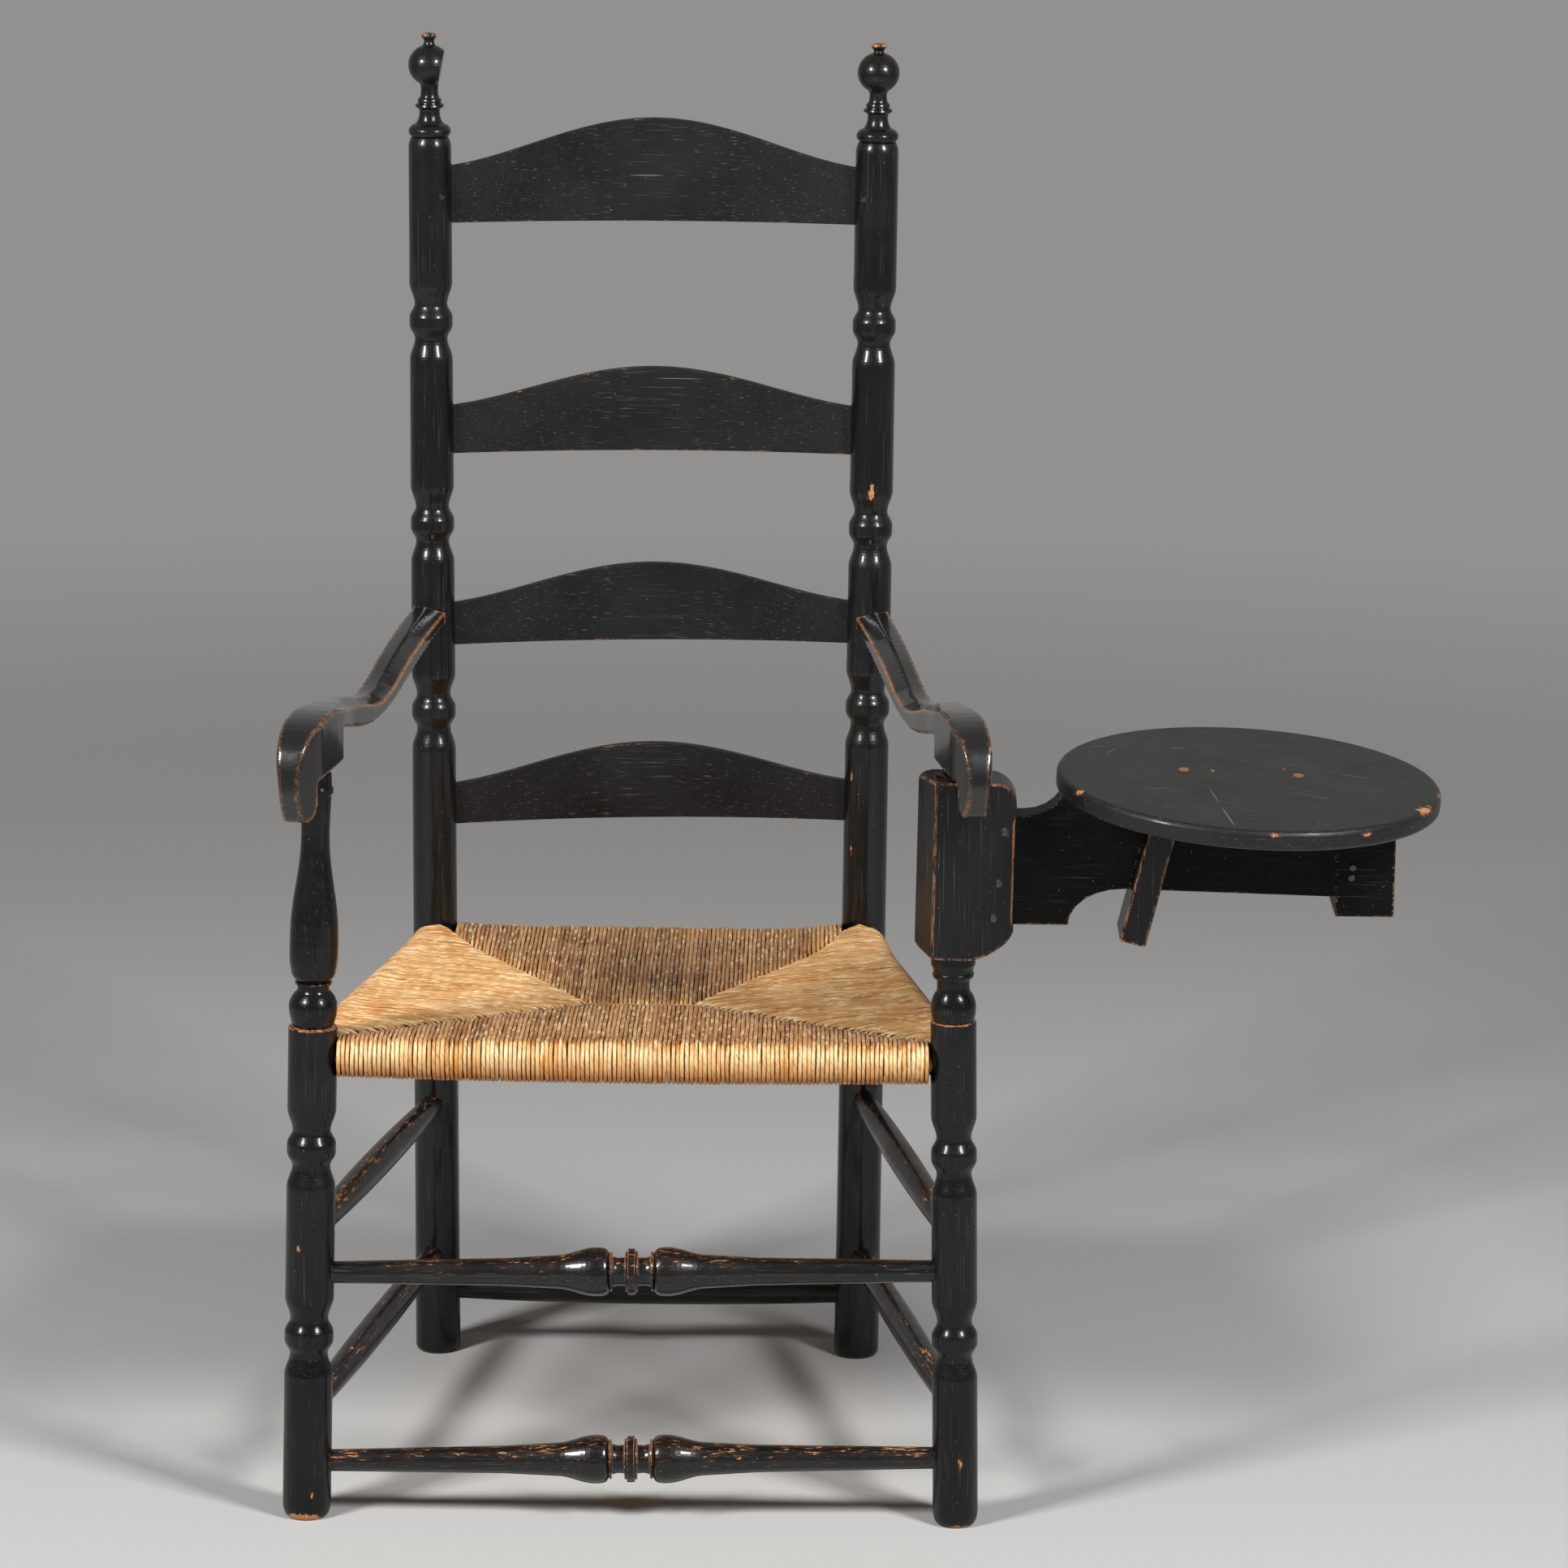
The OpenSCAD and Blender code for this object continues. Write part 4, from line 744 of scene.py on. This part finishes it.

# The seat is stuffed with broken rush between its upper and lower strands. Its dull dark brown
# is partly painted shade: through the slits between the strands the eye sees only this dark.
stuffing_half_t = 0.0085
chaff_mm = 5.556
corners = [(rail_x(0, -1), 0), (rail_x(0, 1), 0), (rail_x(seat_back_y, 1), seat_back_y),
           (rail_x(seat_back_y, -1), seat_back_y)]
tips = [(mid_x - tip_half, tip_y), (mid_x + tip_half, tip_y)]
top_faces = [(4, 0, 1, 5), (5, 1, 2), (5, 2, 3, 4), (4, 3, 0)]
lower_faces = [(10, 11, 7, 6), (11, 8, 7), (11, 10, 9, 8), (10, 6, 9)]
rim_faces = [(0, 6, 7, 1), (1, 7, 8, 2), (2, 8, 9, 3), (3, 9, 6, 0)]
stuffing_mesh = bpy.data.meshes.new("rush_stuffing")
stuffing_mesh.from_pydata(
    [(x, y, rail_z(y) + up * (stuffing_half_t - (panel_dip * 0.6 if (x, y) in tips else 0)))
     for up in (1, -1) for x, y in corners + tips], [], top_faces + lower_faces + rim_faces)
stuffing = add_object("rush_stuffing", stuffing_mesh)
chaff_in_painted_shade, tree, shader = start_material("broken_rush_stuffing_dark_as_shade")
chaff_noise = add_node(tree, "TexNoise", {
    "Vector": add_node(tree, "TexCoord", out=3), "Scale": 1000 / chaff_mm})
# These dark browns stand partly for painted shade in the slits between the strands
tree.links.new(add_node(tree, "Mix", {0: chaff_noise, 6: linear("#2a1c0e"), 7: linear("#54391d")},
                        out=2, data_type="RGBA"), shader.inputs["Base Color"])
tree.links.new(add_node(tree, "Bump", {"Height": chaff_noise, "Distance": 1 * MM}),
               shader.inputs["Normal"])
shader.inputs["Roughness"].default_value = 0.9
stuffing_mesh.materials.append(chaff_in_painted_shade)
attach(stuffing, "root")

# Writing arm: a sawn maple block bored to turn on the post's journal, a bracket board let into
# it, a leaning batten and an end batten. The paint is thick, and orange along the sawn edges.
block_paint = painted_maple(
    "black_paint_on_block", worn=-0.01, edge=0.29, edge_mm=3.4, edge_turn=0.97, rough=0.33,
    scratches=0.6, chip=(3, 14), specks=1.0)
board_paint = painted_maple(
    "black_paint_on_bracket", grain=(1, 0, 0), worn=-0.03, edge=0.24, edge_mm=2.8, edge_turn=0.95,
    rough=0.36, chip=(3, 10), grey=0.15, scratches=0.6, wax=0.05, gloss=0.08, specks=0.8)
for name, material, edge_w in (("hinge_block", block_paint, 1.4), ("tablet_bracket", board_paint, 1.1),
                               ("middle_batten", block_paint, 1.2), ("end_batten", board_paint, 1.2)):
    finish_node(name, material)
    ease_edges(name, edge_w)

# Tablet: one wide round maple board, its top greyed and scratched by books and pens, and its
# rim chipped to orange wood.
top_cuts = [((206, -75, 682), (30, 0.5, 8), -83), ((214, -137, 677), (31, 0.7, 8), -82),
            ((183, 70, 686), (9, 0.6, 8), 10), ((124, 50, 688), (12, 0.5, 8), 60),
            ((112, 62, 688), (8, 0.5, 8), 30), ((330, 10, 677), (14, 0.5, 8), -20),
            ((290, -60, 677), (25, 0.35, 8), -30), ((160, -60, 684), (20, 0.3, 8), 15)]
rim_marks = [((90, -81, 684), (10, 14, 8), 0.34), ((78, 24, 684), (8, 22, 8), 0.32),
             ((385, -86, 672), (22, 22, 7), 0.32), ((401, -40, 674), (6, 26, 8), 0.3),
             ((330, -149, 665), (12, 10, 6), 0.28), ((250, -176, 670), (8, 5, 5), 0.3),
             ((110, 70, 686), (7, 5, 5), 0.26)]
peg_marks = [((209, 3, 682), (3, 7, 5), 0.3), ((272, 20, 680), (5, 5, 5), 0.3)]
finish_node("writing_tablet", painted_maple(
    "rubbed_black_paint_on_tablet", grain=(1, 0.1, 0), worn=-0.03, edge=0.16, edge_mm=6,
    edge_turn=0.93, rough=0.36, grey=0.75, scratches=0.7, lines=0.35, wax=0.2, gloss=0.3,
    chip=(5, 9), specks=0.9, marks=rim_marks + peg_marks, cuts=top_cuts))

# Nails and pins: forged iron nails in the block and the end batten, and the small pins of the
# top slat, painted over with the wood. The paint is greyer and glossier on them, so that their
# heads catch the light as small dots.
head_edge_segments = 4
old_iron = painted_maple("black_paint_on_iron", worn=-0.02, edge=0.0, rough=0.25, grey=0.9,
                         scratches=0.1, lines=0.1, wax=0.8, gloss=0.8)
for name in ("block_nails", "batten_nails"):
    finish_node(name, old_iron)
    ease_edges(name, 1.0)
    nodes[name].modifiers["eased_edges"].segments = head_edge_segments
    nodes[name].modifiers.remove(nodes[name].modifiers["flat_faces_stay_flat"])
finish_node("slat_pins", old_iron)

# Pegs: two round maple pegs that hold the tablet on its bracket. Their end grain stands a hair
# proud of the top and is rubbed bare, so that it shows as two speckled brown dots.
end_grain_mm = 1.667
peg_wood, tree, shader = start_material("maple_end_grain")
peg_noise = add_node(tree, "TexNoise", {
    "Vector": add_node(tree, "TexCoord", out=3), "Scale": 1000 / end_grain_mm, "Detail": 3})
tree.links.new(add_node(tree, "Mix", {0: peg_noise, 6: linear("#4a2f1c"), 7: linear("#a67a54")},
                        out=2, data_type="RGBA"), shader.inputs["Base Color"])
tree.links.new(add_node(tree, "Bump", {"Height": peg_noise, "Distance": 0.3 * MM}),
               shader.inputs["Normal"])
finish_node("tablet_pegs", peg_wood)

# Studio: a wide pale paper floor that fades into an even grey far from the chair, so that it can
# be seen from every side, two soft boxes at either side of the camera a little above the chair,
# which give every turned bead its pair of highlights, and a dim even sky.
floor_half = 30
fade_from, fade_to = 1.6, 4.6
far_grey, sky_pale = "#92918f", "#ecebe9"
sky_strength = 0.06
softbox_w, softbox_h = 0.65, 1.0
softbox_watts = 118
softbox_round_deg, softbox_up_deg = 47, 34
softbox_away = 3.6
studio_middle = Vector((-0.29, 0.2, 0.62))


def seen_directly(tree):
    """1 for what the camera sees, straight or through a reflection, and 0 for scattered light."""
    straight, mirrored, through = (
        add_node(tree, "LightPath", out=ray)
        for ray in ("Is Camera Ray", "Is Glossy Ray", "Is Transmission Ray"))
    pair = add_node(tree, "Math", {0: straight, 1: mirrored}, operation="MAXIMUM")
    return add_node(tree, "Math", {0: pair, 1: through}, operation="MAXIMUM")


# Matt paper: an even warm grey with a faint mottle, which takes the chair's soft shadow
paper_mottle_mm = 6.25
paper, tree, shader = start_material("pale_paper")
paper_at = add_node(tree, "TexCoord", out=3)
paper_noise = add_node(tree, "TexNoise", {
    "Vector": paper_at, "Scale": 1000 / paper_mottle_mm, "Detail": 2})
tree.links.new(add_node(tree, "Mix", {0: paper_noise, 6: linear("#c2c1bf"), 7: linear("#c8c7c5")},
                        out=2, data_type="RGBA"), shader.inputs["Base Color"])
shader.inputs["Roughness"].default_value = 0.85
far = add_node(tree, "VectorMath", {0: paper_at, 1: (mid_x, 0.2, 0)}, out=1, operation="DISTANCE")
fade = add_node(tree, "MapRange", {"Value": far, "From Min": fade_from, "From Max": fade_to},
                interpolation_type="SMOOTHSTEP")
fade = add_node(tree, "Math", {0: fade, 1: seen_directly(tree)}, operation="MULTIPLY")
glow = add_node(tree, "Emission", {"Color": linear(far_grey)})
tree.links.new(add_node(tree, "MixShader", {0: fade, 1: shader.outputs["BSDF"], 2: glow}),
               tree.nodes["Material Output"].inputs["Surface"])
floor_mesh = bpy.data.meshes.new("paper_floor")
floor_mesh.from_pydata([(x * floor_half, y * floor_half, 0)
                        for x, y in ((-1, -1), (1, -1), (1, 1), (-1, 1))], [], [(0, 1, 2, 3)])
floor_mesh.materials.append(paper)
add_object("paper_floor", floor_mesh)

for name, side in (("left_softbox", -1), ("right_softbox", 1)):
    lamp = bpy.data.lights.new(name, "AREA")
    lamp.shape = "RECTANGLE"
    lamp.size, lamp.size_y = softbox_w, softbox_h
    lamp.energy = softbox_watts
    azimuth, elevation = side * math.radians(softbox_round_deg), math.radians(softbox_up_deg)
    away = Vector((math.sin(azimuth) * math.cos(elevation), -math.cos(azimuth) * math.cos(elevation),
                   math.sin(elevation)))
    softbox = add_object(name, lamp)
    softbox.location = studio_middle + away * softbox_away
    softbox.rotation_euler = away.to_track_quat("Z", "Y").to_euler()

world = bpy.data.worlds.new("studio")
bpy.context.scene.world = world
world.use_nodes = True
tree = world.node_tree
sky = tree.nodes["Background"]
direct = seen_directly(tree)
tree.links.new(add_node(tree, "Mix", {0: direct, 6: linear(sky_pale), 7: linear(far_grey)}, out=2,
                        data_type="RGBA"), sky.inputs["Color"])
tree.links.new(add_node(tree, "Mix", {0: direct, 2: sky_strength, 3: 1.0}, data_type="FLOAT"),
               sky.inputs["Strength"])
bpy.context.scene.view_settings.view_transform = "Standard"
